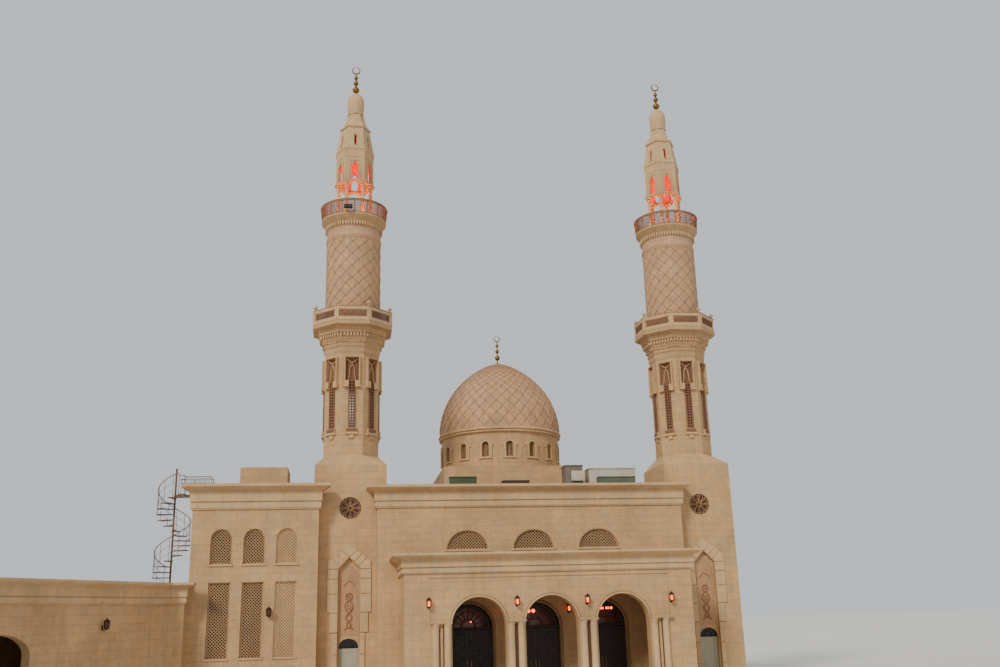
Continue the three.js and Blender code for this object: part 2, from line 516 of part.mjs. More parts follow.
// lantern: six columns, a slit drum, a tapering bay, the cap and the bulb
const hexRing = (pairs) => turned(ringProfile(pairs), 6, true);
const c30 = Math.cos(Math.PI / 6);
let lantern = hexRing([[700 * c30, 24030], [1010 * c30, 24030], [1010 * c30, 24110], [935 * c30, 24140], [905 * c30, 25740],
  [940 * c30, 25770], [930 * c30, 25870], [730 * c30, 26980], [730 * c30, 27050], [400 * c30, 27050], [560 * c30, 26800], [700 * c30, 25700]]);
lantern = cutRound(lantern, plateXZ([[-165, 23900], [165, 23900], [165, 24770], [0, 25080], [-165, 24770]], -1100, -500), 6);
lantern = cutRound(lantern, box(-75, 75, -1100, -400, 26000, 26620), 6);
const post = turned([[0, LANTERN_Z], [115, LANTERN_Z], [115, 22300], [90, 22350], [90, 23810], [118, 23950], [118, 24040], [0, 24040]], 6);
lantern = lantern.add(spread(turnZ(shifted(post, 0, -785, 0), 30), 6));
lantern = lantern.add(turned([[0, 27030], [700 * c30, 27030], [780 * c30, 27060], [785 * c30, 27150], [700 * c30, 27200], [560 * c30, 27420],
  [450 * c30, 27750], [400 * c30, 27960], [0, 27960]], 6, true));
lantern = lantern.add(turned([[0, 27900], [385, 27900], [408, 27960], [408, 28010], [380, 28060], [412, 28330], [425, 28640], [405, 28850],
  [325, 29040], [185, 29165], [0, 29210]], 14));
const finial = rod(32, 29210 + GAP, 30380).add(sphere(178, 29440)).add(sphere(133, 29830)).add(sphere(102, 30130)).add(crescent(212, 30560));

const towerDoor = box(-408, 408, -H + 250, -H + 305, SLAB + 12, 2150)
  .subtract(box(-290, 290, -H + 245, -H + 262, 350, 1050))
  .subtract(box(-290, 290, -H + 245, -H + 262, 1200, 2000));
const transom = box(-418, 418, -H + 240, -H + 320, 2165, 2230);

const shaftNodes = [
  ['base', base.add(box(-425, 425, -H + 240, -H + 320, 2170, 2235)), stone],
  ['door', towerDoor, doorWood],
  ['octagon_shaft', octagon, stone],
  ['lower_balcony', lower, trim],
  ['round_shaft', round, domeStone],
  ['upper_balcony', upper, trim],
  ['lantern', lantern, stone],
  ['finial', finial, metal],
];
for (const [side, s] of [['left', -1], ['right', 1]]) {
  const tower = new THREE.Group();
  tower.position.set(s * TOWER_X, TOWER_Y, 0);
  for (const [name, man, mat] of shaftNodes) add(`${side}_minaret_${name}`, man, mat(), tower);
  group.add(tower);
}

// ---------------------------------------------------------------- annex and spiral stair
let annex = annexBlock(0, Z0, ANNEX_ROOF - 200 - GAP).subtract(annexBlock(350, 0, ANNEX_ROOF));
annex = annex.subtract(slanted(plateXZ(archPts(-8200, 1350, 0, 2450, 700, 12), -400, 700)));
add('annex_walls', annex, stone());
add('annex_roof', annexBlock(0, ANNEX_ROOF - 200, ANNEX_ROOF), stone());
const annexProfile = entablature(ANNEX_TOP, 0.85).map(([z, p]) => [z, p * 0.85]);
const annexCornice = slanted(moulded(LONG.x0, LONG.x1, LONG.y0, LONG.y1, annexProfile, { left: true, right: true, front: true, rear: true }))
  .add(moulded(SHORT.x0, SHORT.x1, SHORT.y0, SHORT.y1, annexProfile, { left: true, front: true, rear: true }))
  .add(moulded(SHORT.x0, SHORT.x1, SHORT.y0, FRONT - 800 + 350, annexProfile, { front: true, right: true }))
  .subtract(annexBlock(-GAP, 2000, ANNEX_ROOF + GAP))
  .subtract(annexBlock(330, ANNEX_ROOF - 20, ANNEX_TOP + 50))
  .subtract(box(WING_LEFT - GAP, 0, FRONT - GAP, 0, 2000, ANNEX_TOP + 50));
add('annex_cornice', annexCornice, trim());

const STAIR = [-15550, -7300];
const STAIR_R = 740;
const RISE = 222;
const STEPS = 18;
const treadTurn = (k) => 30 * k - 240;           // the topmost tread points to the front
let stair = shifted(turned([[0, ANNEX_ROOF + GAP], [42, ANNEX_ROOF + GAP], [42, 9910], [0, 9910]], 12), STAIR[0], STAIR[1], 0);
for (let k = 0; k < STEPS; k++) {
  const pts = [[0, -45], [STAIR_R * Math.cos(-0.28), STAIR_R * Math.sin(-0.28)], [STAIR_R, 0], [STAIR_R * Math.cos(0.28), STAIR_R * Math.sin(0.28)], [0, 45]];
  const z = ANNEX_ROOF + RISE * (k + 1);
  stair = stair.add(shifted(turnZ(prism(pts, z - 35, z), treadTurn(k)), STAIR[0], STAIR[1], 0));
}
const LAND_Z = ANNEX_ROOF + RISE * STEPS + 130;
const LAND_X1 = WING_LEFT - 480;
stair = stair.add(box(STAIR[0], WING_LEFT + 600, STAIR[1] - 380, STAIR[1] + 380, LAND_Z - 60, LAND_Z))
  .add(box(STAIR[0] + 210, LAND_X1, STAIR[1] - 740, STAIR[1] - 375, LAND_Z - 60, LAND_Z));
add('spiral_stair', stair, metal());

// handrail: a helix over the treads' ends, carried by balusters, then along both sides of the bridge
const RAIL_H = 950;
const helix = [];
const posts = [];
for (let k = 0; k < STEPS; k++) {
  const a = (treadTurn(k) * Math.PI) / 180;
  const [x, y] = [STAIR[0] + (STAIR_R - 25) * Math.cos(a), STAIR[1] + (STAIR_R - 25) * Math.sin(a)];
  const z = ANNEX_ROOF + RISE * (k + 1);
  helix.push(new THREE.Vector3(x, y, z + RAIL_H));
  posts.push([x, y, z + GAP, z + RAIL_H]);
}
const bar = (r, x0, x1, y, z) => box(x0, x1, y - r, y + r, z - r, z + r);
const railGeo = bare(new THREE.ExtrudeGeometry(shapeOf([[-18, -18], [18, -18], [18, 18], [-18, 18]]), {
  steps: STEPS * 2, bevelEnabled: false, extrudePath: new THREE.CatmullRomCurve3(helix) }));
let rail = solid(railGeo);
for (const [x, y, z0, z1] of posts) rail = rail.add(box(x - 10, x + 10, y - 10, y + 10, z0, z1));
const last = helix[STEPS - 1];
const BRIDGE_X1 = WING_LEFT + 580;
const GUARD_H = 770;
const GUARD_Z = LAND_Z + GUARD_H;
const post2 = (x, y) => box(x - 12, x + 12, y - 12, y + 12, LAND_Z + GAP, GUARD_Z);
const rearY = STAIR[1] + 360, frontY = STAIR[1] - 360, landY = STAIR[1] - 715;
for (const [z, r] of [[GUARD_Z, 18], [GUARD_Z - 180, 10]]) {
  rail = rail.add(bar(r, STAIR[0] + 150, BRIDGE_X1, rearY, z))
    .add(bar(r, LAND_X1 - 30, BRIDGE_X1, frontY, z))
    .add(box(LAND_X1 - 30 - r, LAND_X1 - 30 + r, landY, frontY, z - r, z + r))
    .add(bar(r, STAIR[0] + 230, LAND_X1 - 30, landY, z));
}
for (const x of [STAIR[0] + 170, STAIR[0] + 760, BRIDGE_X1 - 20]) rail = rail.add(post2(x, rearY));
for (const x of [LAND_X1 - 30, BRIDGE_X1 - 20]) rail = rail.add(post2(x, frontY));
for (const x of [STAIR[0] + 240, LAND_X1 - 30]) rail = rail.add(post2(x, landY));
rail = rail.add(box(BRIDGE_X1 - 30, BRIDGE_X1, frontY, rearY, LAND_Z + GAP, LAND_Z + 22));
rail = rail.add(box(last.x - 18, STAIR[0] + 250, landY - 18, landY + 18, GUARD_Z - 18, last.z + 18));
add('stair_rail', rail, metal());

export default group;
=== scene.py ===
import math

import bmesh
import bpy
import numpy as np
from mathutils import Matrix, Vector


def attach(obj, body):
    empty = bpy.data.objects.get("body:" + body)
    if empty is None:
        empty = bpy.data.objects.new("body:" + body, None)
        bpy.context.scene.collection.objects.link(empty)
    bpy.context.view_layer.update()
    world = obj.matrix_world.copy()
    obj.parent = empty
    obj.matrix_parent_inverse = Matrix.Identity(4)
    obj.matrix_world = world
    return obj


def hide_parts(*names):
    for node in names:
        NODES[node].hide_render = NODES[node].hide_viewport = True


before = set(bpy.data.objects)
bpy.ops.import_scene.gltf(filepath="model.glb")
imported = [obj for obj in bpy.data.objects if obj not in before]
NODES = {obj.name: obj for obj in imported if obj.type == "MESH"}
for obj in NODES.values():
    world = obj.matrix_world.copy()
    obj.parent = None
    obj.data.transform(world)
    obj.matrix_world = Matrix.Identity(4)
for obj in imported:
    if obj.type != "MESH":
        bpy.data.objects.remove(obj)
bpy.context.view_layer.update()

# ---------------------------------------------------------------- dimensions, metres
FRONT, REAR, WALL = -8.78, 8.75, 0.40
RIGHT, LEFT = 9.0, -14.57
DOORS = (-2.935, 0.0, 2.935)
TOWERS = {"left": (-8.0, -6.5, 0.0), "right": (8.0, -6.5, 0.0)}
H = 1.578                      # half width of a minaret's base
DEG = math.pi / 180


# ---------------------------------------------------------------- mesh code
# A part is (vertices, faces). Flat work is drawn in the XZ plane, facing -Y.
def block(x0, x1, y0, y1, z0, z1, b=0.0):
    """A box, its edges cut off by b."""
    if b <= 0:
        v = [(x, y, z) for x in (x0, x1) for y in (y0, y1) for z in (z0, z1)]
        return v, [(0, 1, 3, 2), (4, 6, 7, 5), (0, 4, 5, 1), (2, 3, 7, 6), (0, 2, 6, 4), (1, 5, 7, 3)]
    lo, hi = (x0, y0, z0), (x1, y1, z1)
    v, key = [], {}
    for sx in (0, 1):
        for sy in (0, 1):
            for sz in (0, 1):
                s = (sx, sy, sz)
                for a in range(3):
                    p = [(hi[i] if s[i] else lo[i]) - (0 if i == a else (b if s[i] else -b)) for i in range(3)]
                    key[s, a] = len(v)
                    v.append(tuple(p))
    f = []
    for a in range(3):
        o, w = [i for i in range(3) if i != a]
        for side in (0, 1):
            ring = []
            for so, sw in ((0, 0), (1, 0), (1, 1), (0, 1)):
                s = [0, 0, 0]
                s[a], s[o], s[w] = side, so, sw
                ring.append(key[tuple(s), a])
            f.append(tuple(ring))
        for so in (0, 1):
            for sw in (0, 1):
                s0, s1 = [0, 0, 0], [0, 0, 0]
                s0[a], s1[a] = 0, 1
                s0[o] = s1[o] = so
                s0[w] = s1[w] = sw
                s0, s1 = tuple(s0), tuple(s1)
                f.append((key[s0, o], key[s1, o], key[s1, w], key[s0, w]))
    for s in {k[0] for k in key}:
        f.append((key[s, 0], key[s, 1], key[s, 2]))
    return v, f


def plate(outline, y0, y1):
    """An outline in the XZ plane, from depth y0 to y1."""
    n = len(outline)
    v = [(x, y0, z) for x, z in outline] + [(x, y1, z) for x, z in outline]
    f = [tuple(range(n)), tuple(range(2 * n - 1, n - 1, -1))]
    f += [(i, (i + 1) % n, n + (i + 1) % n, n + i) for i in range(n)]
    return v, f


def band(inner, outer, y0, y1, closed=False):
    """A strip between two outlines of equal length, from depth y0 to y1."""
    n = len(inner)
    v = ([(x, y0, z) for x, z in inner] + [(x, y0, z) for x, z in outer]
         + [(x, y1, z) for x, z in inner] + [(x, y1, z) for x, z in outer])
    f = []
    for i in range(n if closed else n - 1):
        j = (i + 1) % n
        f += [(i, j, n + j, n + i), (2 * n + i, 3 * n + i, 3 * n + j, 2 * n + j),
              (i, 2 * n + i, 2 * n + j, j), (n + i, n + j, 3 * n + j, 3 * n + i)]
    if not closed:
        f += [(0, n, 3 * n, 2 * n), (n - 1, 3 * n - 1, 4 * n - 1, 2 * n - 1)]
    return v, f


def lathe(profile, n=32, closed=False, flat=False, turn=0.0):
    """A profile of (radius, z) turned about Z. With flat the radius is that of the faces, and not of the corners."""
    k = 1 / math.cos(math.pi / n) if flat else 1.0
    v, rows = [], []
    for r, z in profile:
        if r < 1e-6:
            rows.append([len(v)] * n)
            v.append((0.0, 0.0, z))
        else:
            rows.append(list(range(len(v), len(v) + n)))
            v += [(r * k * math.cos(turn + 2 * math.pi * i / n), r * k * math.sin(turn + 2 * math.pi * i / n), z) for i in range(n)]
    f = []
    pairs = list(zip(rows, rows[1:])) + ([(rows[-1], rows[0])] if closed else [])
    for a, b in pairs:
        for i in range(n):
            j = (i + 1) % n
            ring = []
            for q in (a[i], a[j], b[j], b[i]):
                if q not in ring:
                    ring.append(q)
            if len(ring) > 2:
                f.append(tuple(ring))
    if not closed:
        for row in (rows[0], rows[-1]):
            if len(set(row)) > 1:
                f.append(tuple(row))
    return v, f


OCT = math.pi / 8
HEX = math.pi / 6


def sweep(path, section, normals=None, closed=False):
    """A section of (side, out) carried along a path. Out is along the normals, which are -Y unless given."""
    p = np.array(path, float)
    n = len(p)
    nrm = np.tile((0.0, -1.0, 0.0), (n, 1)) if normals is None else np.array(normals, float)
    if closed:
        t = np.roll(p, -1, 0) - np.roll(p, 1, 0)
    else:
        t = np.zeros_like(p)
        t[1:-1] = p[2:] - p[:-2]
        t[0], t[-1] = p[1] - p[0], p[-1] - p[-2]
    t /= np.linalg.norm(t, axis=1)[:, None]
    # a corner is mitred: its section is widened by the turn
    wide = np.ones(n)
    for i in range(n):
        if closed or 0 < i < n - 1:
            a, b = p[i] - p[i - 1], p[(i + 1) % n] - p[i]
            c = float(a @ b) / (np.linalg.norm(a) * np.linalg.norm(b))
            wide[i] = 1 / max(0.5, math.sqrt(max(0.0, (1 + c) / 2)))
    side = np.cross(t, nrm)
    side /= np.linalg.norm(side, axis=1)[:, None]
    out = np.cross(side, t)
    m = len(section)
    v = []
    for i in range(n):
        v += [tuple(p[i] + side[i] * a * wide[i] + out[i] * b) for a, b in section]
    f = []
    for i in range(n if closed else n - 1):
        j = (i + 1) % n
        f += [(i * m + k, i * m + (k + 1) % m, j * m + (k + 1) % m, j * m + k) for k in range(m)]
    if not closed:
        f += [tuple(range(m)), tuple((n - 1) * m + k for k in range(m - 1, -1, -1))]
    return v, f


def strip(w, d, base=0.0):
    return [(-w / 2, base), (w / 2, base), (w / 2, d), (-w / 2, d)]


def roll(w, d, base=0.0):
    return [(-w / 2, base), (w / 2, base), (w / 2, d * .45), (w * .28, d * .88), (0, d), (-w * .28, d * .88), (-w / 2, d * .45)]


def tube(r, n=8):
    return [(r * math.cos(2 * math.pi * i / n), r * math.sin(2 * math.pi * i / n)) for i in range(n)]


def flatline(pts, y):
    return [(x, y, z) for x, z in pts]


def rod(p, q, r, n=8):
    d = np.array(q, float) - np.array(p, float)
    up = (1.0, 0.0, 0.0) if abs(d[2]) > .9 * np.linalg.norm(d) else (0.0, 0.0, 1.0)
    return sweep([p, q], tube(r, n), [up, up])


def arch(c, half, z0, spring, rise=None, n=16):
    """An outline from the foot on the left over the arch to the foot on the right."""
    rise = half if rise is None else rise
    pts = [(c - half, z0)]
    for i in range(n + 1):
        a = math.pi - math.pi * i / n
        pts.append((c + half * math.cos(a), spring + rise * math.sin(a)))
    pts.append((c + half, z0))
    return pts


def rect(x0, x1, z0, z1):
    return [(x0, z0), (x0, z1), (x1, z1), (x1, z0)]


def grown(pts, c, g, foot=True):
    """An arch outline grown by g about the middle c, its feet kept."""
    out = []
    for i, (x, z) in enumerate(pts):
        a = pts[max(i - 1, 0)]
        b = pts[min(i + 1, len(pts) - 1)]
        tx, tz = b[0] - a[0], b[1] - a[1]
        l = math.hypot(tx, tz)
        nx, nz = -tz / l, tx / l
        if i in (0, len(pts) - 1):
            nx, nz = (-1 if x < c else 1), 0.0
        out.append((x + nx * g, z + nz * g))
    return out


def clip(outline, p, d):
    """The span of the line p + t d inside a convex outline."""
    t0, t1 = -1e9, 1e9
    area = sum(a[0] * b[1] - b[0] * a[1] for a, b in zip(outline, outline[1:] + outline[:1]))
    for a, b in zip(outline, outline[1:] + outline[:1]):
        ex, ez = b[0] - a[0], b[1] - a[1]
        if area < 0:
            ex, ez = -ex, -ez
        den = ex * d[1] - ez * d[0]
        num = ex * (p[1] - a[1]) - ez * (p[0] - a[0])
        if abs(den) < 1e-12:
            if num < 0:
                return None
            continue
        t = -num / den
        if den > 0:
            t0 = max(t0, t)
        else:
            t1 = min(t1, t)
    return (t0, t1) if t1 - t0 > .02 else None


def lattice(outline, pitch, w, depth, y, angle=45.0, segs=1):
    """Two sets of slanting bars across a convex outline."""
    parts = []
    xs, zs = [p[0] for p in outline], [p[1] for p in outline]
    c = ((min(xs) + max(xs)) / 2, (min(zs) + max(zs)) / 2)
    reach = math.hypot(max(xs) - min(xs), max(zs) - min(zs)) / 2
    for s, off in ((1, 0.0), (-1, .0015)):
        a = angle * DEG
        d = (math.cos(a), s * math.sin(a))
        n = (-d[1], d[0])
        k = int(reach / pitch) + 1
        for i in range(-k, k + 1):
            p = (c[0] + n[0] * i * pitch, c[1] + n[1] * i * pitch)
            span = clip(outline, p, d)
            if span is None:
                continue
            pts = [(p[0] + d[0] * t, y + off, p[1] + d[1] * t) for t in np.linspace(span[0], span[1], segs + 1)]
            parts.append(sweep(pts, strip(w, depth, 0)))
    return parts


def moved(part, x=0.0, y=0.0, z=0.0):
    return [(a + x, b + y, c + z) for a, b, c in part[0]], part[1]


def turned(part, deg, cx=0.0, cy=0.0):
    c, s = math.cos(deg * DEG), math.sin(deg * DEG)
    return [(cx + (x - cx) * c - (y - cy) * s, cy + (x - cx) * s + (y - cy) * c, z) for x, y, z in part[0]], part[1]


def wrapped(part, r):
    """Flat work rolled round a cylinder of radius r about Z: its middle faces -Y."""
    v = []
    for x, y, z in part[0]:
        a = x / r
        v.append(((r - y) * math.sin(a), -(r - y) * math.cos(a), z))
    return v, part[1]


def around(parts, n, start=0.0):
    return [turned(p, start + 360 * i / n) for i in range(n) for p in parts]


def smooth_profile(pts, k=4):
    """A curve through the points, for a turned shape."""
    p = [np.array(q, float) for q in pts]
    out = []
    for i in range(len(p) - 1):
        a, b, c, d = p[max(i - 1, 0)], p[i], p[i + 1], p[min(i + 2, len(p) - 1)]
        for j in range(k):
            t = j / k
            out.append(tuple(.5 * ((2 * b) + (c - a) * t + (2 * a - 5 * b + 4 * c - d) * t * t + (3 * b - a - 3 * c + d) * t ** 3)))
    out.append(tuple(p[-1]))
    return [(max(float(r), 0.0), float(z)) for r, z in out]


def mesh_of(name, parts, sharp=32.0, weld=0.0):
    verts, faces, base = [], [], 0
    for v, f in parts:
        verts += [tuple(map(float, q)) for q in v]
        faces += [tuple(i + base for i in g) for g in f]
        base += len(v)
    me = bpy.data.meshes.new(name)
    me.from_pydata(verts, [], faces)
    bm = bmesh.new()
    bm.from_mesh(me)
    if weld:
        bmesh.ops.remove_doubles(bm, verts=bm.verts, dist=weld)
    bmesh.ops.recalc_face_normals(bm, faces=bm.faces)
    bm.to_mesh(me)
    bm.free()
    me.shade_smooth()
    me.set_sharp_from_angle(angle=sharp * DEG)
    return me


def piece(name, parts, mat, body="building", replaces=(), at=None, sharp=32.0, weld=0.0):
    me = parts if isinstance(parts, bpy.types.Mesh) else mesh_of(name, parts, sharp, weld)
    if not me.materials:
        me.materials.append(mat)
    ob = bpy.data.objects.new(name, me)
    bpy.context.scene.collection.objects.link(ob)
    if at is not None:
        ob.location = at
    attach(ob, body)
    if replaces:
        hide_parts(*replaces)
    return ob


def on_towers(name, parts, mat, replaces=None, sharp=32.0, weld=0.0, sides=("left", "right")):
    """The same piece on both minarets, drawn about a minaret's axis."""
    me = mesh_of(name, parts, sharp, weld)
    for side in sides:
        gone = (f"{side}_minaret_{replaces}",) if replaces else ()
        piece(f"{side}_minaret_{name}", me, mat, at=TOWERS[side], replaces=gone)


# ---------------------------------------------------------------- materials
def lin(rgb):
    return tuple((c / 255 / 12.92) if c / 255 <= .04045 else ((c / 255 + .055) / 1.055) ** 2.4 for c in rgb)


class Shader:
    def __init__(self, name):
        self.mat = bpy.data.materials.new(name)
        self.mat.use_nodes = True
        self.t = self.mat.node_tree
        self.bsdf = self.t.nodes["Principled BSDF"]
        self.p = self.add("ShaderNodeTexCoord").outputs["Object"]

    def add(self, kind, **props):
        n = self.t.nodes.new(kind)
        for k, v in props.items():
            setattr(n, k, v)
        return n

    def link(self, a, b):
        self.t.links.new(a, b)

    def put(self, socket, value):
        if hasattr(value, "is_output"):
            self.link(value, socket)
        elif isinstance(value, tuple) and len(value) == 3 and socket.type == "RGBA":
            socket.default_value = (*value, 1.0)
        else:
            socket.default_value = value

    def math(self, op, a, b=0.0, clamp=False):
        n = self.add("ShaderNodeMath", operation=op, use_clamp=clamp)
        self.put(n.inputs[0], a)
        self.put(n.inputs[1], b)
        return n.outputs[0]

    def noise(self, scale, detail=4.0, rough=.55, stretch=None, distortion=0.0):
        n = self.add("ShaderNodeTexNoise")
        n.inputs["Scale"].default_value = scale
        n.inputs["Detail"].default_value = detail
        n.inputs["Roughness"].default_value = rough
        n.inputs["Distortion"].default_value = distortion
        if stretch:
            m = self.add("ShaderNodeMapping")
            m.inputs["Scale"].default_value = stretch
            self.link(self.p, m.inputs["Vector"])
            self.link(m.outputs[0], n.inputs["Vector"])
        else:
            self.link(self.p, n.inputs["Vector"])
        return n.outputs["Fac"]

    def ramp(self, fac, lo, hi, a, b):
        """fac from lo to hi gives grey a to b."""
        n = self.add("ShaderNodeMapRange", clamp=True)
        self.link(fac, n.inputs["Value"])
        for k, v in (("From Min", lo), ("From Max", hi), ("To Min", a), ("To Max", b)):
            n.inputs[k].default_value = v
        return n.outputs[0]

    def blend(self, fac, a, b, kind="MIX"):
        n = self.add("ShaderNodeMix", data_type="RGBA", blend_type=kind)
        self.put(n.inputs[0], fac)
        self.put(n.inputs[6], a)
        self.put(n.inputs[7], b)
        return n.outputs[2]

    def times(self, color, grey):
        n = self.add("ShaderNodeVectorMath", operation="SCALE")
        self.link(color, n.inputs[0])
        self.link(grey, n.inputs["Scale"])
        return n.outputs[0]

    def bump(self, height, distance, strength=1.0):
        n = self.add("ShaderNodeBump")
        n.inputs["Distance"].default_value = distance
        n.inputs["Strength"].default_value = strength
        self.link(height, n.inputs["Height"])
        self.link(n.outputs[0], self.bsdf.inputs["Normal"])

    def wall_uv(self):
        """Metres along a wall and up it, for walls facing any way; plan metres on a floor."""
        g = self.add("ShaderNodeNewGeometry")
        n = self.add("ShaderNodeSeparateXYZ")
        self.link(g.outputs["True Normal"], n.inputs[0])
        q = self.add("ShaderNodeSeparateXYZ")
        self.link(self.p, q.inputs[0])
        u = self.math("SUBTRACT", self.math("MULTIPLY", q.outputs[1], n.outputs[0]), self.math("MULTIPLY", q.outputs[0], n.outputs[1]))
        a = self.add("ShaderNodeCombineXYZ")
        self.link(u, a.inputs[0])
        self.link(q.outputs[2], a.inputs[1])
        flat = self.math("GREATER_THAN", self.math("ABSOLUTE", n.outputs[2]), .7)
        mix = self.add("ShaderNodeMix", data_type="VECTOR")
        self.link(flat, mix.inputs[0])
        self.link(a.outputs[0], mix.inputs[4])
        self.link(self.p, mix.inputs[5])
        return mix.outputs[1]

    def round_uv(self, r):
        q = self.add("ShaderNodeSeparateXYZ")
        self.link(self.p, q.inputs[0])
        a = self.math("ARCTAN2", q.outputs[0], self.math("MULTIPLY", q.outputs[1], -1.0))
        c = self.add("ShaderNodeCombineXYZ")
        self.link(self.math("MULTIPLY", a, r), c.inputs[0])
        self.link(q.outputs[2], c.inputs[1])
        return c.outputs[0]

    def bricks(self, uv, w, h, joint, a, b, m):
        n = self.add("ShaderNodeTexBrick", offset=.5, squash=1.0)
        self.link(uv, n.inputs["Vector"])
        n.inputs["Color1"].default_value = (*a, 1)
        n.inputs["Color2"].default_value = (*b, 1)
        n.inputs["Mortar"].default_value = (*m, 1)
        n.inputs["Scale"].default_value = 1.0
        n.inputs["Mortar Size"].default_value = joint
        n.inputs["Mortar Smooth"].default_value = .15
        n.inputs["Brick Width"].default_value = w
        n.inputs["Row Height"].default_value = h
        return n.outputs["Color"], n.outputs["Fac"]


def stone(name, rgb, size=None, r=None, joint=.007, tint=.06, streak=.20, rough=.86, grain=1.0):
    """Cut stone: laid in blocks of the given size, or carved from one block."""
    s = Shader(name)
    base = np.array(lin(rgb))
    big = s.ramp(s.noise(.55, 5), .3, .7, .84, 1.1)
    mid = s.ramp(s.noise(5.0, 6, .6), .3, .7, .90, 1.07)
    fine_f = s.noise(70.0, 4, .7)
    fine = s.ramp(fine_f, .3, .7, .93, 1.05)
    run = s.ramp(s.noise(1.0, 5, .6, stretch=(4.0, 4.0, .35)), .45, .75, 1.0, 1 - streak)
    warm = s.blend(s.ramp(s.noise(1.7, 4), .35, .65, 0.0, 1.0), tuple(base * (1.05, 1.0, .93)), tuple(base * (.95, .97, 1.04)))
    height = s.math("MULTIPLY", fine_f, .35 * grain)
    color = warm
    if size:
        uv = s.round_uv(r) if r else s.wall_uv()
        c, f = s.bricks(uv, size[0], size[1], joint, (1 + tint, 1 + tint * .8, 1 + tint * .6), (1 - tint, 1 - tint, 1 - tint * .9), (.89, .87, .85))
        color = s.blend(1.0, warm, c, "MULTIPLY")
        height = s.math("SUBTRACT", height, f)
    else:
        height = s.math("ADD", height, s.math("MULTIPLY", s.noise(9.0, 5), .5))
    for g in (big, mid, fine, run):
        color = s.times(color, g)
    s.link(color, s.bsdf.inputs["Base Color"])
    s.link(s.ramp(fine_f, .3, .7, rough - .06, rough + .06), s.bsdf.inputs["Roughness"])
    s.bump(height, .006 if size else .004, .8)
    return s.mat


def plainish(name, rgb, rgb2, rough, metal=0.0, scale=3.0, spread=.08, bump=.0015, stretch=None, spec=None):
    """Paint, metal or glass: two close colours mixed unevenly, with worn spots."""
    s = Shader(name)
    f = s.noise(scale, 6, .6, stretch=stretch)
    color = s.blend(s.ramp(f, .35, .65, 0.0, 1.0), lin(rgb), lin(rgb2))
    color = s.times(color, s.ramp(s.noise(scale * 9, 5, .7), .3, .7, 1 - spread, 1 + spread))
    s.link(color, s.bsdf.inputs["Base Color"])
    s.link(s.ramp(f, .3, .7, max(rough - .08, .02), rough + .1), s.bsdf.inputs["Roughness"])
    s.bsdf.inputs["Metallic"].default_value = metal
    s.bump(s.noise(scale * 14, 4, .6), bump, .6)
    return s.mat


def lamp(name, rgb, strength):
    """Lit glass, a little uneven."""
    s = Shader(name)
    c = s.blend(s.ramp(s.noise(14.0, 3), .35, .65, 0.0, 1.0), lin(rgb), tuple(np.array(lin(rgb)) * (1.0, .8, .7)))
    s.link(c, s.bsdf.inputs["Emission Color"])
    s.bsdf.inputs["Emission Strength"].default_value = strength
    s.link(c, s.bsdf.inputs["Base Color"])
    s.bsdf.inputs["Roughness"].default_value = .5
    return s.mat


def wood(name, rgb, rgb2, rough, handle=None):
    """Boards with the grain upright; what stands before the leaf's face is metal."""
    s = Shader(name)
    f = s.noise(2.2, 7, .65, stretch=(9.0, 9.0, .7), distortion=.6)
    color = s.blend(s.ramp(f, .3, .7, 0.0, 1.0), lin(rgb), lin(rgb2))
    color = s.times(color, s.ramp(s.noise(26.0, 5, .7, stretch=(3.0, 3.0, .3)), .3, .7, .82, 1.12))
    if handle is not None:
        q = s.add("ShaderNodeSeparateXYZ")
        s.link(s.p, q.inputs[0])
        m = s.math("LESS_THAN", q.outputs[1], handle)
        brass = s.blend(s.ramp(s.noise(20.0, 4), .4, .6, 0.0, 1.0), lin((150, 120, 70)), lin((120, 92, 52)))
        color = s.blend(m, color, brass)
        s.link(m, s.bsdf.inputs["Metallic"])
    s.link(color, s.bsdf.inputs["Base Color"])
    s.link(s.ramp(f, .3, .7, rough - .1, rough + .1), s.bsdf.inputs["Roughness"])
    s.bump(f, .003, .5)
    return s.mat


TAN, PINK = (196, 159, 112), (197, 157, 117)
M_WALL = stone("ashlar", TAN, size=(.62, .31), streak=.12)
M_CARVED = stone("carved_stone", (203, 168, 122), tint=.05, streak=.16)
# darker stone used as painted shade: the portico's lines, the doorway bands and the blind window's ground; the lower
# balcony's coping uses it too
M_DARKER = stone("carved_shade", (152, 117, 80), streak=.12)
M_RECESS = stone("recess_stone", (186, 146, 106), streak=.12)
M_GRILLE = stone("grille_stone", (124, 84, 60), streak=.1, grain=.6)
M_BAND = stone("corbel_stone", (190, 153, 108), streak=.2)
M_DRUM = stone("drum_ashlar", TAN, size=(.62, .36), r=3.135, tint=.05, joint=.006)
M_ROUND = stone("round_ashlar", PINK, size=(.5, .30), r=1.286, tint=.07, joint=.006)
M_DOME = stone("dome_ashlar", PINK, size=(.62, .36), r=3.2, tint=.06, joint=.006, streak=.3)
M_RIB = stone("net_ribs", (181, 141, 104), streak=.15)
M_CHAIN = stone("interlace_stone", (156, 112, 78), streak=.1)
M_BOSS = stone("net_bosses", (172, 130, 94), streak=.1)
M_SCREED = stone("roof_screed", (150, 140, 126), size=(2.4, 2.4), tint=.04, streak=0.0, rough=.92)
M_PAVE = stone("floor_slabs", (172, 158, 136), size=(.9, .9), tint=.08, streak=0.0, joint=.006)
M_LATT = stone("window_lattice", (176, 140, 98), streak=.1, grain=.6)
M_PARA = stone("parapet_stone", (150, 117, 80), streak=.1, grain=.6)
# dark opaque sheets behind the lattices stand for the glass; their dark red-brown is painted shade of the rooms behind
M_BACK_SHADE = plainish("window_backing_shade", (52, 32, 22), (36, 25, 19), .35, scale=1.6, spread=.2)
M_ROSE = plainish("rosette_backing", (124, 80, 58), (94, 62, 46), .5, scale=3.0, spread=.2)
M_GLASS = plainish("fanlight_glass", (166, 78, 50), (120, 56, 38), .22, scale=1.2, spread=.2)
M_DARKG = plainish("dark_glass", (40, 34, 30), (28, 26, 26), .18, scale=2.0, spread=.15)
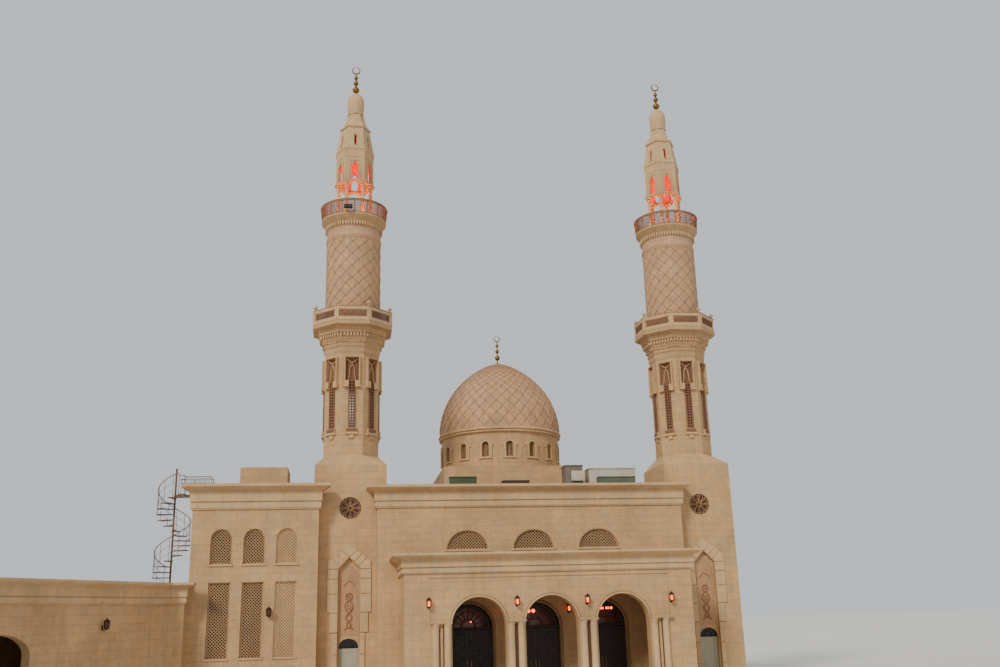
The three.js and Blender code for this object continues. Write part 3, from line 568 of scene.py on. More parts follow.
M_GILT = plainish("gilt", (150, 114, 60), (120, 90, 46), .34, metal=1.0, scale=9.0, spread=.1)
M_STEEL = plainish("painted_steel", (128, 94, 64), (104, 74, 50), .5, metal=.2, scale=4.0, spread=.12)
M_BRONZE = plainish("dark_bronze", (62, 50, 40), (44, 36, 30), .45, metal=.8, scale=18.0)
M_UNIT = plainish("unit_cream", (206, 196, 172), (188, 178, 154), .5, metal=.1, scale=2.5)
M_UNITD = plainish("unit_dark", (58, 56, 54), (42, 42, 42), .5, metal=.4, scale=3.0)
M_UNITB = plainish("unit_brown", (124, 113, 99), (106, 97, 86), .55, metal=.1, scale=2.5)
M_LIDB = plainish("roof_light_brown", (82, 64, 48), (62, 50, 40), .4, scale=2.0)
M_LAMPD = plainish("lamp_glass_unlit", (98, 50, 36), (68, 38, 30), .25, scale=6.0)
# dark stone laid as painted shade in the slots between paired columns
M_GAP_SHADE = stone("column_gap_shade", (92, 63, 44), streak=.1, grain=.6)
M_GREEND = plainish("roof_light_dark", (96, 104, 80), (76, 84, 66), .3, scale=2.0)
M_GREEN = plainish("roof_light_green", (76, 88, 54), (60, 72, 46), .3, scale=2.0)
M_DOOR = wood("door_wood", (50, 33, 23), (35, 24, 17), .5, handle=-8.618)
M_TRIMW = wood("door_mouldings", (62, 41, 28), (44, 29, 20), .5)
M_PAINT = wood("painted_door", (178, 172, 146), (156, 150, 126), .6)
M_FRAMEW = wood("window_timber", (60, 40, 28), (44, 29, 20), .6)
M_LAMP = lamp("lamp_glow", (255, 92, 14), 5.0)
# a dim red glow on the lantern's inner lining: painted light, not a lamp
M_PAINTED_GLOW = lamp("lantern_painted_glow", (255, 44, 8), .6)
M_FLOOD = lamp("lantern_floodlight", (255, 126, 34), 600.0)

for names, mat in (
    (("front_wall", "front_pier_1", "front_pier_2", "front_pier_3", "front_pier_4", "wing_front_wall", "right_wall",
      "left_wall", "rear_wall", "wing_inner_wall", "portico_left_wall", "portico_right_wall", "stair_head",
      "dome_base", "annex_walls", "left_minaret_base", "right_minaret_base",
      "left_minaret_octagon_shaft", "right_minaret_octagon_shaft"), M_WALL),
    (("front_cornice", "side_cornice", "portico_cornice", "annex_cornice"), M_CARVED),
    (("roof_slab", "portico_roof", "annex_roof"), M_SCREED),
    (("ground_slab",), M_PAVE),
    (("wing_window_screens", "right_window_screens", "left_window_screens", "rear_window_screens", "lunette_screens"), M_BACK_SHADE),
    (("fanlight_glass",), M_GLASS),
    (("spiral_stair",), M_STEEL),
    (("left_minaret_door", "right_minaret_door"), M_PAINT),
    (tuple(n for n in NODES if n.startswith("entrance_door")), M_DOOR),
):
    for n in names:
        NODES[n].data.materials.clear()
        NODES[n].data.materials.append(mat)

# ---------------------------------------------------------------- portico arcade
AH, AS, PF = 1.085, 2.96, -12.10
outline = [(-5.89, .151)]
for c in DOORS:
    outline += [(c - AH, .151)] + arch(c, AH, .151, AS, n=40)[1:-1] + [(c + AH, .151)]
outline += [(5.89, .151), (5.89, 5.379), (-5.89, 5.379)]
arcade = [plate(outline, PF, PF + .5)]
# shade holds thin strips of darker stone: painted shade lines round the arches and along the frame
trim, shade = [], []
for c in DOORS:
    a0 = math.asin(.20 / AH)
    for r, w, d, kind in ((AH + .040, .07, .05, roll), (AH + .092, .03, .022, strip)):
        pts = []
        for i in range(37):
            a = math.pi - a0 - (math.pi - 2 * a0) * i / 36
            pts.append((c + r * math.cos(a), AS + r * math.sin(a)))
        (shade if kind is strip else trim).append(sweep(flatline(pts, PF), kind(w, d)))
# rectangular frame line, a thin strip of darker stone: painted shade of the frame's edge
frame_pts = [(-4.87, 3.16), (-4.87, 4.80), (4.87, 4.80), (4.87, 3.16)]
shade.append(sweep(flatline(frame_pts, PF), strip(.02, .008)))
col = [(.18, .26), (.185, .285), (.171, .305), (.157, .315), (.157, .325), (.168, .34), (.166, .36), (.146, .375), (.137, .39),
       (.136, 2.0), (.135, 2.86), (.146, 2.875), (.148, 2.893), (.137, 2.905), (.139, 2.93), (.154, 2.975), (.175, 3.02), (.177, 3.054)]
columns = []
for x in (-4.67, -4.20, -1.67, -1.265, 1.265, 1.67, 4.20, 4.67):
    columns.append(moved(lathe(col, 24), x, -12.12))
spans = [(-4.92, -4.02), (-1.85, -1.085), (1.085, 1.85), (4.02, 4.92)]
for x0, x1 in spans:
    for g, z0, z1 in ((.0, 3.055, 3.085), (.018, 3.088, 3.135), (.03, 3.137, 3.160)):
        e0, e1 = (g if x0 < -4.5 else 0), (g if x1 > 4.5 else 0)
        trim.append(block(x0 - e0 + .002, x1 + e1 - .002, PF - .205 - g, PF + .01, z0, z1, .006))
    trim.append(block(x0 + .002, x1 - .002, PF - .215, PF + .01, .151, .225, .008))
    trim.append(block(x0 + .012, x1 - .012, PF - .205, PF + .01, .227, .262, .006))
# the narrow slots between paired columns get darker stone: painted shade of the deep gaps
gaps = []
for a, b in ((-4.67, -4.20), (-1.67, -1.265), (1.265, 1.67), (4.20, 4.67)):
    if b - a < .43:
        gaps.append(block(a + .10, b - .10, PF - .006, PF + .003, .27, 3.052))
    else:
        gaps.append(block(a + .12, a + .185, PF - .006, PF + .003, .27, 3.052))
        gaps.append(block(b - .185, b - .12, PF - .006, PF + .003, .27, 3.052))
piece("portico_arcade_wall", arcade, M_WALL, replaces=("portico_arcade",))
piece("portico_columns", columns, M_CARVED)
piece("portico_mouldings", trim, M_CARVED)
piece("portico_shade_lines", shade, M_DARKER)
piece("portico_column_gaps", gaps, M_GAP_SHADE)

# ---------------------------------------------------------------- inner doorways
frames, bars, glass_bars = [], [], []
for c in DOORS:
    o = arch(c, 1.01, 2.86, 2.82, n=32)
    outer = arch(c, 1.01, .151, 2.82, n=32)
    # a roll of darker stone round each doorway: painted shade of the arch's underside
    frames.append(sweep(flatline(grown(outer, c, .065), FRONT), roll(.11, .045)))
    ring = [(c + .905 * math.cos(t), 2.865 + .90 * math.sin(t)) for t in np.linspace(math.pi, 0, 33)]
    bars.append(sweep(flatline(ring, -8.60), strip(.19, .03)))
    bars.append(block(c - 1.009, c + 1.009, -8.64, -8.52, 2.765, 2.865, .008))
    ring = [(c + .97 * math.cos(t), 2.865 + .955 * math.sin(t)) for t in np.linspace(math.pi, 0, 33)]
    bars.append(sweep(flatline(ring, -8.58), strip(.07, .05)))
    for r in (.30, .64):
        ring = [(c + r * math.cos(t), 2.865 + r * math.sin(t)) for t in np.linspace(math.pi, 0, 25)]
        bars.append(sweep(flatline(ring, -8.58), strip(.035, .035)))
    for k in range(1, 8):
        t = math.pi * k / 8
        p, q = (c + .30 * math.cos(t), 2.865 + .30 * math.sin(t)), (c + .95 * math.cos(t), 2.865 + .94 * math.sin(t))
        bars.append(sweep(flatline([p, q], -8.58), strip(.03, .032)))
    for k in range(8):
        t = math.pi * (k + .5) / 8
        ring = [(c + (.80 + .075 * math.cos(u)) * math.cos(t) - .075 * math.sin(u) * math.sin(t),
                 2.865 + (.80 + .075 * math.cos(u)) * math.sin(t) + .075 * math.sin(u) * math.cos(t)) for u in np.linspace(0, 2 * math.pi, 15)[:-1]]
        bars.append(sweep(flatline(ring, -8.58), strip(.02, .025), closed=True))
piece("doorway_shade_bands", frames, M_DARKER)
piece("fanlight_bars", bars, M_FRAMEW)

for n, c in enumerate(DOORS):
    for s in (-1, 1):
        x0, x1 = sorted((c + s * .998, c + s * .006))
        parts = []
        for z0, z1 in ((.45, 1.12), (1.26, 1.93), (2.07, 2.62)):
            a0, a1 = x0 + .13, x1 - .13
            for y, sign in ((-8.61 + .018, 1), (-8.55 - .018, -1)):
                pts = [(a0 + .028, z0 + .028), (a0 + .028, z1 - .028), (a1 - .028, z1 - .028), (a1 - .028, z0 + .028)]
                nrm = [(0, -sign, 0)] * 4
                parts.append(sweep(flatline(pts, y), roll(.045, .016), nrm, closed=True))
                m = ((a0 + a1) / 2, (z0 + z1) / 2)
                d = [(m[0], z0 + .09), (a0 + .09, m[1]), (m[0], z1 - .09), (a1 - .09, m[1])]
                parts.append(sweep(flatline(d, y), roll(.03, .015), nrm, closed=True))
                if sign > 0:
                    parts.append(block(m[0] - .07, m[0] + .07, y - .014, y + .001, m[1] - .07, m[1] + .07, .005))
                else:
                    parts.append(block(m[0] - .07, m[0] + .07, y - .001, y + .014, m[1] - .07, m[1] + .07, .005))
        name = f"entrance_door_{n + 1}_{'left' if s < 0 else 'right'}"
        piece(name + "_mouldings", parts, M_TRIMW, body=name)

# ---------------------------------------------------------------- lunettes of the front
latt, lines = [], []
for c in DOORS:
    lun = [(c + .91 * math.cos(t), 6.11 + .82 * math.sin(t)) for t in np.linspace(math.pi, 0, 29)]
    latt += lattice(lun, .094, .027, .03, -8.66)
    rim = [(c + .885 * math.cos(t), 6.115 + .795 * math.sin(t)) for t in np.linspace(math.pi, 0, 29)]
    latt.append(sweep(flatline(rim, -8.645), strip(.05, .06)))
    latt.append(block(c - .905, c + .905, -8.70, -8.64, 6.111, 6.155))
    rim = [(c + .965 * math.cos(t), 6.11 + .875 * math.sin(t)) for t in np.linspace(math.pi, 0, 33)]
    lines.append(sweep(flatline(rim, FRONT), strip(.025, .014)))
    lines.append(block(c - .99, c + .99, FRONT - .05, FRONT + .002, 6.035, 6.108, .01))
piece("lunette_lattices", latt, M_LATT)
piece("lunette_frames", lines, M_CARVED)


# ---------------------------------------------------------------- windows
def window(sill=True, blind=False):
    """One bay of two windows, low and high, about x = 0 with the wall's face at y = 0."""
    w = .445
    low, high = rect(-w, w, 1.93, 4.93), arch(0, w, 5.68, 6.69, n=20)
    y, d = (.108, .03) if blind else (.12, .034)
    lat = lattice(low, .092, .027, d, y) + lattice(high, .092, .027, d, y)
    lat.append(sweep(flatline(rect(-w + .025, w - .025, 1.955, 4.905), y), strip(.05, d + .012), closed=True))
    lat.append(sweep(flatline(grown(high, 0, -.025)[1:-1], y), strip(.05, d + .012)))
    for s in (-1, 1):
        lat.append(block(s * .42 - .025, s * .42 + .025, y - d - .012, y, 5.70, 6.69))
    lat.append(block(-.445, .445, y - d - .012, y, 5.681, 5.73))
    out = [sweep(flatline([(-w - .02, 1.93), (-w - .02, 4.95), (w + .02, 4.95), (w + .02, 1.93)], 0), strip(.022, .012)),
           sweep(flatline(grown(high, 0, .02), 0), strip(.022, .012))]
    if sill:
        out += [block(-.505, .505, -.055, .002, z - .078, z - .002, .01) for z in (1.93, 5.68)]
    return lat, out


lat, out, relief = [], [], []
unit_l, unit_o = window()
blind_l, _ = window(blind=True)
for x in (-13.33, -11.98):
    lat += [moved(p, x, FRONT) for p in unit_l]
relief += [moved(p, -10.63, FRONT) for p in blind_l]
# a sheet of darker stone behind the blind window's relief: painted shade of its recess
hollow_shade = [moved(plate(o, .098, .107), -10.63, FRONT) for o in (rect(-.443, .443, 1.932, 4.928), arch(0, .443, 5.682, 6.69, n=20))]
for x in (-13.33, -11.98, -10.63):
    out += [moved(p, x, FRONT) for p in unit_o]
for y in (-3.2, -.8, 1.6, 4.0, 6.4):
    lat += [moved(turned(p, 90), RIGHT, y) for p in unit_l] + [moved(turned(p, -90), LEFT, y) for p in unit_l]
    out += [moved(turned(p, 90), RIGHT, y) for p in unit_o] + [moved(turned(p, -90), LEFT, y) for p in unit_o]
for x in (-12.4, -10.0, -7.2, -4.8, -2.4, 0.0, 2.4, 4.8, 7.2):
    lat += [moved(turned(p, 180), x, REAR) for p in unit_l]
    out += [moved(turned(p, 180), x, REAR) for p in unit_o]
piece("window_lattices", lat, M_LATT)
piece("blind_window_relief", relief, M_CARVED)
piece("blind_window_shaded_ground", hollow_shade, M_DARKER)
piece("window_frames", out, M_CARVED)

# ---------------------------------------------------------------- dome drum
DR = 3.135
xs = []
step = 2 * math.pi * DR / 16
hole = [.18 * -math.cos(math.pi * i / 8) for i in range(9)]
for k in range(16):
    c = step * k
    xs += [(c + h, True, math.sqrt(max(.18 ** 2 - h * h, 0.0))) for h in hole]
    xs += [(c + .18 + (step - .36) * t, False, 0.0) for t in (.2, .4, .6, .8)]
v, f, col0 = [], [], []
ZB, ZS, T = 11.09, 11.69, .28
for x, open_, h in xs:
    a = x / DR
    row = []
    for r in (DR, DR - T):
        for z in (10.56, ZB, ZS + h, 12.36):
            row.append(len(v))
            v.append((r * math.sin(a), -r * math.cos(a), z))
    col0.append(row)
N = len(xs)
for i in range(N):
    j = (i + 1) % N
    a, b = col0[i], col0[j]
    inside = xs[i][1] and xs[j][1] and abs(xs[j][0] - xs[i][0]) < .2
    f += [(a[0], b[0], b[1], a[1]), (a[4], a[5], b[5], b[4]), (a[2], b[2], b[3], a[3]), (a[6], a[7], b[7], b[6])]
    f += [(a[0], a[4], b[4], b[0]), (a[3], b[3], b[7], a[7])]
    if inside:
        f += [(a[1], b[1], b[5], a[5]), (a[2], a[6], b[6], b[2])]
    else:
        f += [(a[1], b[1], b[2], a[2]), (a[5], a[6], b[6], b[5])]
    if xs[i][1] and (i == 0 or not xs[i - 1][1]):
        f.append((a[1], a[2], a[6], a[5]))
    if xs[i][1] and not xs[(i + 1) % N][1]:
        f.append((a[1], a[5], a[6], a[2]))
piece("dome_drum_wall", [(v, f)], M_DRUM, replaces=("dome_drum",), weld=.0005)
mould, infill, dl = [], [], []
mould.append(lathe([(3.0, 12.33), (3.16, 12.33), (3.2, 12.345), (3.25, 12.37), (3.265, 12.40), (3.25, 12.43), (3.21, 12.45), (3.2, 12.465),
                    (3.23, 12.48), (3.285, 12.505), (3.3, 12.535), (3.29, 12.57), (3.25, 12.6), (3.0, 12.6)], 96, closed=True))
for k in range(16):
    a = 360 * k / 16
    i_o, o_o = arch(0, .18, 11.06, 11.69, n=14), arch(0, .335, 11.06, 11.69, n=14)
    parts = [band(arch(0, .235, 11.06, 11.69, n=14), o_o, -.035, .03), band(i_o, arch(0, .24, 11.06, 11.69, n=14), -.062, .03),
             band(arch(0, .30, 11.06, 11.69, n=14), o_o, -.058, .03)]
    for s in (-1, 1):
        x0, x1 = sorted((s * .30, s * .425))
        parts.append(block(x0, x1, -.066, .03, 11.655, 11.725, .006))
        x0, x1 = sorted((s * .20, s * .355))
        parts.append(block(x0, x1, -.066, .03, 10.99, 11.062, .006))
    parts.append(block(-.205, .205, -.075, .03, 11.0, 11.085, .008))
    mould += [turned(wrapped(p, DR), a) for p in parts]
    # dark opaque plates in the drum's windows: glass, with the inside's shade painted into their colour
    infill.append(turned(wrapped(plate([(-.185, 11.05)] + arch(0, .185, 11.05, 11.69, n=10)[1:-1] + [(.185, 11.05)], .16, .175), DR), a))
    hole_o = arch(0, .18, 11.09, 11.69, n=10)
    for p in lattice(hole_o, .085, .02, .02, .13) + [block(-.012, .012, .10, .13, 11.09, 11.86)]:
        dl.append(turned(wrapped(p, DR), a))
piece("dome_drum_mouldings", mould, M_CARVED)
piece("dome_drum_shaded_glass", infill, M_BACK_SHADE)
piece("dome_drum_lattices", dl, M_LATT)

# ---------------------------------------------------------------- dome
outer = [(3.222, 12.60), (3.222, 12.70), (3.203, 13.084), (3.109, 13.621), (2.938, 14.143), (2.693, 14.642), (2.378, 15.109), (1.997, 15.536),
         (1.558, 15.917), (1.067, 16.246), (.533, 16.517), (.16, 16.66), (0, 16.72)]
outer = smooth_profile(outer, 4)
outer[-1] = (0.0, 16.72)
inner = [(0, 16.46), (.98, 16.01), (1.85, 15.35), (2.48, 14.50), (2.86, 13.52), (2.96, 12.70), (2.96, 12.60)]
piece("dome_shell_stone", [lathe(outer + inner, 96, closed=True)], M_DOME, replaces=("dome_shell",), sharp=40)

prof = [(r, z) for r, z in outer if z >= 12.7]
dense = [prof[0]]
for a, b in zip(prof, prof[1:]):
    for t in (.5, 1.0):
        dense.append((a[0] + (b[0] - a[0]) * t, a[1] + (b[1] - a[1]) * t))
TAN_A = math.tan(41.6 * DEG)
phi, line = 0.0, []
for i, (r, z) in enumerate(dense):
    if i:
        r0, z0 = dense[i - 1]
        phi += TAN_A * math.hypot(r - r0, z - z0) / ((r + r0) / 2)
        slope = math.atan2(r0 - r, z - z0)
    else:
        slope = 0.0
    if r < .42:
        break
    line.append((r, z, phi, slope))
net, boss = [], []
for s in (1, -1):
    for k in range(32):
        pts, nrm = [], []
        for r, z, p, sl in line:
            a = 2 * math.pi * k / 32 + s * p
            pts.append((r * math.sin(a), -r * math.cos(a), z))
            nrm.append((math.cos(sl) * math.sin(a), -math.cos(sl) * math.cos(a), math.sin(sl)))
        pts, nrm = np.array(pts), np.array(nrm)
        w = .012 + .017 * np.array([q[0] for q in line]) / 3.2
        secs = []
        t = np.gradient(pts, axis=0)
        side = np.cross(t, nrm)
        side /= np.linalg.norm(side, axis=1)[:, None]
        v = []
        for i in range(len(pts)):
            for a_, b_ in ((-1, -.004), (1, -.004), (.55, .022), (-.55, .022)):
                v.append(tuple(pts[i] + side[i] * a_ * w[i] + nrm[i] * b_))
        f = [(i * 4 + q, i * 4 + (q + 1) % 4, i * 4 + 4 + (q + 1) % 4, i * 4 + 4 + q) for i in range(len(pts) - 1) for q in range(4)]
        f += [(0, 1, 2, 3), tuple(4 * (len(pts) - 1) + q for q in (3, 2, 1, 0))]
        net.append((v, f))
phis = np.array([q[2] for q in line])
j = 1
while math.pi * j / 32 < phis[-1]:
    ph = math.pi * j / 32
    r = float(np.interp(ph, phis, [q[0] for q in line]))
    z = float(np.interp(ph, phis, [q[1] for q in line]))
    sl = float(np.interp(ph, phis, [q[3] for q in line]))
    if r < .7:
        break
    g = .035 + .06 * r / 3.2
    for k in range(32):
        a = (2 * k + j) * math.pi / 32
        n_ = np.array((math.cos(sl) * math.sin(a), -math.cos(sl) * math.cos(a), math.sin(sl)))
        e = np.array((math.cos(a), math.sin(a), 0.0))
        u = np.cross(n_, e)
        u = u if u[2] > 0 else -u
        c0 = np.array((r * math.sin(a), -r * math.cos(a), z))
        v = [tuple(c0 + e * x * g * .52 + u * y * g + n_ * h) for x, y, h in
             ((-1, 0, -.004), (0, -1, -.004), (1, 0, -.004), (0, 1, -.004), (-.62, 0, .032), (0, -.68, .032), (.62, 0, .032), (0, .68, .032), (0, 0, .04))]
        boss.append((v, [(3, 2, 1, 0), (0, 1, 5, 4), (1, 2, 6, 5), (2, 3, 7, 6), (3, 0, 4, 7), (4, 5, 8), (5, 6, 8), (6, 7, 8), (7, 4, 8)]))
    j += 1
piece("dome_net", net, M_RIB, sharp=60)
piece("dome_net_bosses", boss, M_BOSS)


# ---------------------------------------------------------------- finials
def ball(r, z, n=9, flat=1.0):
    return [(r * math.sin(math.pi * i / n), z - r * flat * math.cos(math.pi * i / n)) for i in range(n + 1)]


def crescent(r, z, open_deg=22.0, thick=.16):
    """A thin ring, thicker at its foot, its tips nearly meeting above."""
    out_, in_ = [], []
    for t in np.linspace(90 + open_deg / 2, 450 - open_deg / 2, 41):
        k = (1 - math.sin(t * DEG)) / 2
        out_.append((r * math.cos(t * DEG), z + r * math.sin(t * DEG)))
        q = r * (1 - .15 - thick * k)
        in_.append((q * math.cos(t * DEG), z + r * .02 + q * math.sin(t * DEG)))
    return band(in_, out_, -.016, .016)


def finial(z0, z1, rad, balls, moon):
    """A rod with balls threaded on it, collars between them, and a crescent on its tip."""
    prof_ = [(rad * 2.2, z0), (rad * 2.2, z0 + .03), (rad * 1.2, z0 + .07)]
    for r, z in balls:
        prof_ += [(rad, z - r * 1.25), (rad * 1.7, z - r * 1.18), (rad, z - r * 1.1)]
        prof_ += [(a, b) for a, b in ball(r, z, 14, .94) if a > rad]
        prof_ += [(rad, z + r * 1.1), (rad * 1.6, z + r * 1.16), (rad, z + r * 1.24)]
    prof_ += [(rad * .9, z1 - .02), (0, z1)]
    return [lathe(prof_, 20), crescent(*moon)]


piece("dome_finial_gilt", finial(16.70, 17.95, .03, [(.145, 17.02), (.107, 17.40), (.088, 17.72)], (.175, 18.11)), M_GILT, replaces=("dome_finial",), sharp=50)
on_towers("finial_gilt", finial(29.19, 30.36, .028, [(.178, 29.44), (.134, 29.83), (.103, 30.13)], (.212, 30.56)), M_GILT, "finial", sharp=50)

# ---------------------------------------------------------------- minaret portal
st, chain = [], []


def portal_block(pts, y=-H - .06, gap=.006):
    """A voussoir: an outline drawn in by half a joint, its front edges cut off."""
    def drawn_in(g):
        n, out_ = len(pts), []
        area = sum(a[0] * b[1] - b[0] * a[1] for a, b in zip(pts, pts[1:] + pts[:1]))
        sg = 1 if area > 0 else -1
        for i in range(n):
            a, b, c = pts[i - 1], pts[i], pts[(i + 1) % n]
            u, w = Vector((b[0] - a[0], b[1] - a[1])).normalized(), Vector((c[0] - b[0], c[1] - b[1])).normalized()
            nu, nw = Vector((-u.y, u.x)) * sg, Vector((-w.y, w.x)) * sg
            m = (nu + nw) / max(.3, 1 + nu.dot(nw))
            out_.append((b[0] + m.x * g, b[1] + m.y * g))
        return out_
    back, front = drawn_in(gap), drawn_in(gap + .014)
    n = len(pts)
    v = [(x, -H + .004, z) for x, z in back] + [(x, y + .014, z) for x, z in back] + [(x, y, z) for x, z in front]
    f = [tuple(range(n)), tuple(range(3 * n - 1, 2 * n - 1, -1))]
    f += [(r * n + i, r * n + (i + 1) % n, (r + 1) * n + (i + 1) % n, (r + 1) * n + i) for r in (0, 1) for i in range(n)]
    return v, f


for s in (-1, 1):
    for w, z0, z1 in ((.45, 5.020, 5.408), (.45, 4.396, 4.998), (.45, 3.618, 4.374), (.33, 2.802, 3.592), (.20, 1.926, 2.780), (.20, 1.046, 1.904), (.20, .151, 1.024)):
        x0, x1 = sorted((s * .474, s * (.48 + w + .008)))
        st.append(block(x0, x1, -H - .062, -H + .004, z0, z1, .015))
    m = lambda pts: [(s * x, z) for x, z in pts]
    st.append(portal_block(m([(.475, 5.424), (.945, 5.424), (.912, 5.755), (.748, 5.868), (.405, 5.532)])))
    st.append(portal_block(m([(.39, 5.532), (.734, 5.874), (.556, 6.056), (.214, 5.722)])))
    st.append(portal_block(m([(.205, 5.732), (.545, 6.064), (.30, 6.196), (.004, 5.914)])))
st.append(portal_block([(0, 5.924), (.318, 6.206), (0, 6.50), (-.318, 6.206)], -H - .07))
# arch moulding within the recess, and the niche's inner head
RF = -1.418
head = [(-.43, .16), (-.43, 5.12), (-.40, 5.26), (-.30, 5.42), (-.15, 5.54), (0, 5.62), (.15, 5.54), (.30, 5.42), (.40, 5.26), (.43, 5.12), (.43, .16)]
st.append(sweep(flatline(head, RF), strip(.04, .02)))
panel = [plate([(-.408, 2.66)] + [(x * .95, z - .02) for x, z in head[1:-1]] + [(.408, 2.66)], RF - .006, RF + .003)]
head = [(-.235, 4.69), (-.20, 4.765), (-.11, 4.865), (0, 4.94), (.11, 4.865), (.20, 4.765), (.235, 4.69)]
chain.append(sweep(flatline(head, RF), roll(.042, .03)))
ring = [(.135 * math.cos(t), 4.27 + .135 * math.sin(t)) for t in np.linspace(0, 2 * math.pi, 29)[:-1]]
chain.append(sweep(flatline(ring, RF), roll(.045, .05), closed=True))
chain.append(moved((lambda p: ([(x, z, y) for x, y, z in p[0]], p[1]))(lathe([(.06, 0), (.055, -.035), (.03, -.05), (0, -.055)], 16)), 0, RF, 4.27))
for s in (-1, 1):
    pts = []
    for z in np.linspace(4.13, 2.98, 50):
        if z > 3.59:
            x = .165 * math.sin(math.pi * (4.13 - z) / .54)
        elif z > 3.24:
            x = -.125 * math.sin(math.pi * (3.59 - z) / .35)
        else:
            x = .085 * math.sin(math.pi * (3.24 - z) / .26)
        pts.append((s * x, z))
    chain.append(sweep(flatline(pts, RF), roll(.068, .055 if s > 0 else .040)))
chain.append(sweep(flatline([(-.17, 2.90), (-.15, 2.965), (0, 2.985), (.15, 2.965), (.17, 2.90)], RF), roll(.05, .045)))
ring = [(.06 * math.cos(t), 3.84 + .09 * math.sin(t)) for t in np.linspace(0, 2 * math.pi, 21)[:-1]]
chain.append(sweep(flatline(ring, RF), roll(.03, .04), closed=True))
# door surround and its round fanlight
o = arch(0, .42, .16, 2.19, .35, n=20)
st.append(sweep(flatline(grown(o, 0, .035), RF), roll(.06, .04)))
fan = []
for r in (.16, .38):
    ring = [(r * math.cos(t), 2.235 + r * .77 * math.sin(t)) for t in np.linspace(math.pi, 0, 21)]
    fan.append(sweep(flatline(ring, -1.30), strip(.03, .03)))
for k in range(1, 6):
    t = math.pi * k / 6
    fan.append(sweep(flatline([(.16 * math.cos(t), 2.235 + .12 * math.sin(t)), (.39 * math.cos(t), 2.235 + .29 * math.sin(t))], -1.30), strip(.022, .026)))
fan.append(block(-.42, .42, -1.345, -1.255, 2.165, 2.236, .006))
pane = [plate([(-.418, 2.236)] + arch(0, .418, 2.236, 2.19, .35, n=16)[2:-2] + [(.418, 2.236)], -1.285, -1.277)]
on_towers("portal_stones", st, M_CARVED)
on_towers("portal_panel", panel, M_RECESS)
on_towers("portal_interlace", chain, M_CHAIN)
on_towers("door_fanlight", fan, M_BRONZE)
on_towers("door_fanlight_glass", pane, M_DARKG)

# rosette
RZ = 8.03
rs = []
for r, w, d, y in ((.497, .03, .02, -H), (.086, .03, .06, -H + .075)):
    ring = [(r * math.cos(t), RZ + r * math.sin(t)) for t in np.linspace(0, 2 * math.pi, 49)[:-1]]
    rs.append(sweep(flatline(ring, y), roll(w, d), closed=True))
for k in range(8):
    a = math.pi * k / 4 + math.pi / 8
    ring = []
    for t in np.linspace(0, 2 * math.pi, 25)[:-1]:
        u = .275 - .155 * math.cos(t)
        w = .098 * math.sin(t) * (.62 + .38 * (u - .12) / .31)
        ring.append((u * math.cos(a) - w * math.sin(a), RZ + u * math.sin(a) + w * math.cos(a)))
    rs.append(sweep(flatline(ring, -H + .075), roll(.019, .05), closed=True))
    a += math.pi / 8
    ring = [(.405 * math.cos(a) + .03 * math.cos(t), RZ + .405 * math.sin(a) + .03 * math.sin(t)) for t in np.linspace(0, 2 * math.pi, 13)[:-1]]
    rs.append(sweep(flatline(ring, -H + .075), strip(.014, .045), closed=True))
rosette_back = [plate([(.468 * math.cos(t), RZ + .468 * math.sin(t)) for t in np.linspace(0, 2 * math.pi, 41)[:-1]], -H + .16, -H + .175)]
rim8 = [(.462 * math.cos(t), RZ + .462 * math.sin(t)) for t in np.linspace(0, 2 * math.pi, 49)[:-1]]
on_towers("rosette", rs, M_CARVED)
on_towers("rosette_rim", [sweep(flatline(rim8, -H + .10), roll(.03, .08), closed=True)], M_GRILLE)
on_towers("rosette_backing", rosette_back, M_ROSE)

# ---------------------------------------------------------------- octagon's faces
face = []
fr = [(-.345, 13.65), (-.345, 14.96), (.345, 14.96), (.345, 13.65)]
face.append(sweep(flatline(fr, -1.38), strip(.02, .007), closed=False))
for s in (-1, 1):
    x0, x1 = sorted((s * .165, s * .405))
    face.append(block(x0, x1, -1.40, -1.37, 13.535, 13.625, .008))
for s in (-1, 1):
    pts = [(s * .30, 14.935), (s * .20, 14.83), (s * .08, 14.72), (0, 14.69)]
    face.append(sweep(flatline(pts, -1.19), roll(.045, .10)))
    pts = [(s * .012, 14.60), (s * .06, 14.52), (s * .105, 14.38), (s * .122, 14.2), (s * .135, 14.05), (s * .16, 13.93), (s * .185, 13.845)]
    face.append(sweep(flatline(pts, -1.19), roll(.045, .10)))
face.append(sweep(flatline([(0, 14.70), (0, 14.58)], -1.19), roll(.045, .10)))
sill_rim = [(-.244, 11.455), (-.244, 11.634), (.244, 11.634), (.244, 11.455)]
face.append(sweep(flatline(sill_rim, -1.33), strip(.012, .012), closed=True))
slit = [plate(rect(-.237, .237, 11.460, 11.628), -1.337, -1.325), plate(rect(-.303, .303, 13.842, 14.937), -1.197, -1.187)]
face.append(block(-.29, .29, -1.352, -1.22, 11.372, 11.452, .012))
face.append(plate([(-.12, 11.372), (-.09, 11.26), (0, 11.17), (.09, 11.26), (.12, 11.372)], -1.30, -1.22))
face.append(plate([(-.045, 10.99), (0, 11.04), (.045, 10.99), (0, 10.90)], -1.262, -1.225))
for s in (-1, 1):
    x0, x1 = sorted((s * .10, s * .158))
    slit.append(block(x0, x1, -1.30, -1.225, 11.644, 13.53, .004))
    x0, x1 = sorted((s * .10, s * .143))
    slit.append(block(x0, x1, -1.30, -1.225, 13.53, 13.84, .004))
slit.append(block(-.024, .024, -1.298, -1.255, 11.65, 13.84))
for k in range(17):
    z = 11.70 + .1325 * k
    for x0, x1 in ((-.101, -.023), (.023, .101)):
        slit.append(block(x0, x1, -1.296, -1.257, z - .032, z + .032))
string = lathe([(1.20, 11.335), (1.243, 11.335), (1.262, 11.35), (1.266, 11.37), (1.255, 11.39), (1.243, 11.40), (1.20, 11.40)], 8, closed=True, flat=True, turn=OCT)
on_towers("face_mouldings", around(face, 8) + [string], M_CARVED)
on_towers("slit_lattices", around(slit, 8), M_GRILLE)

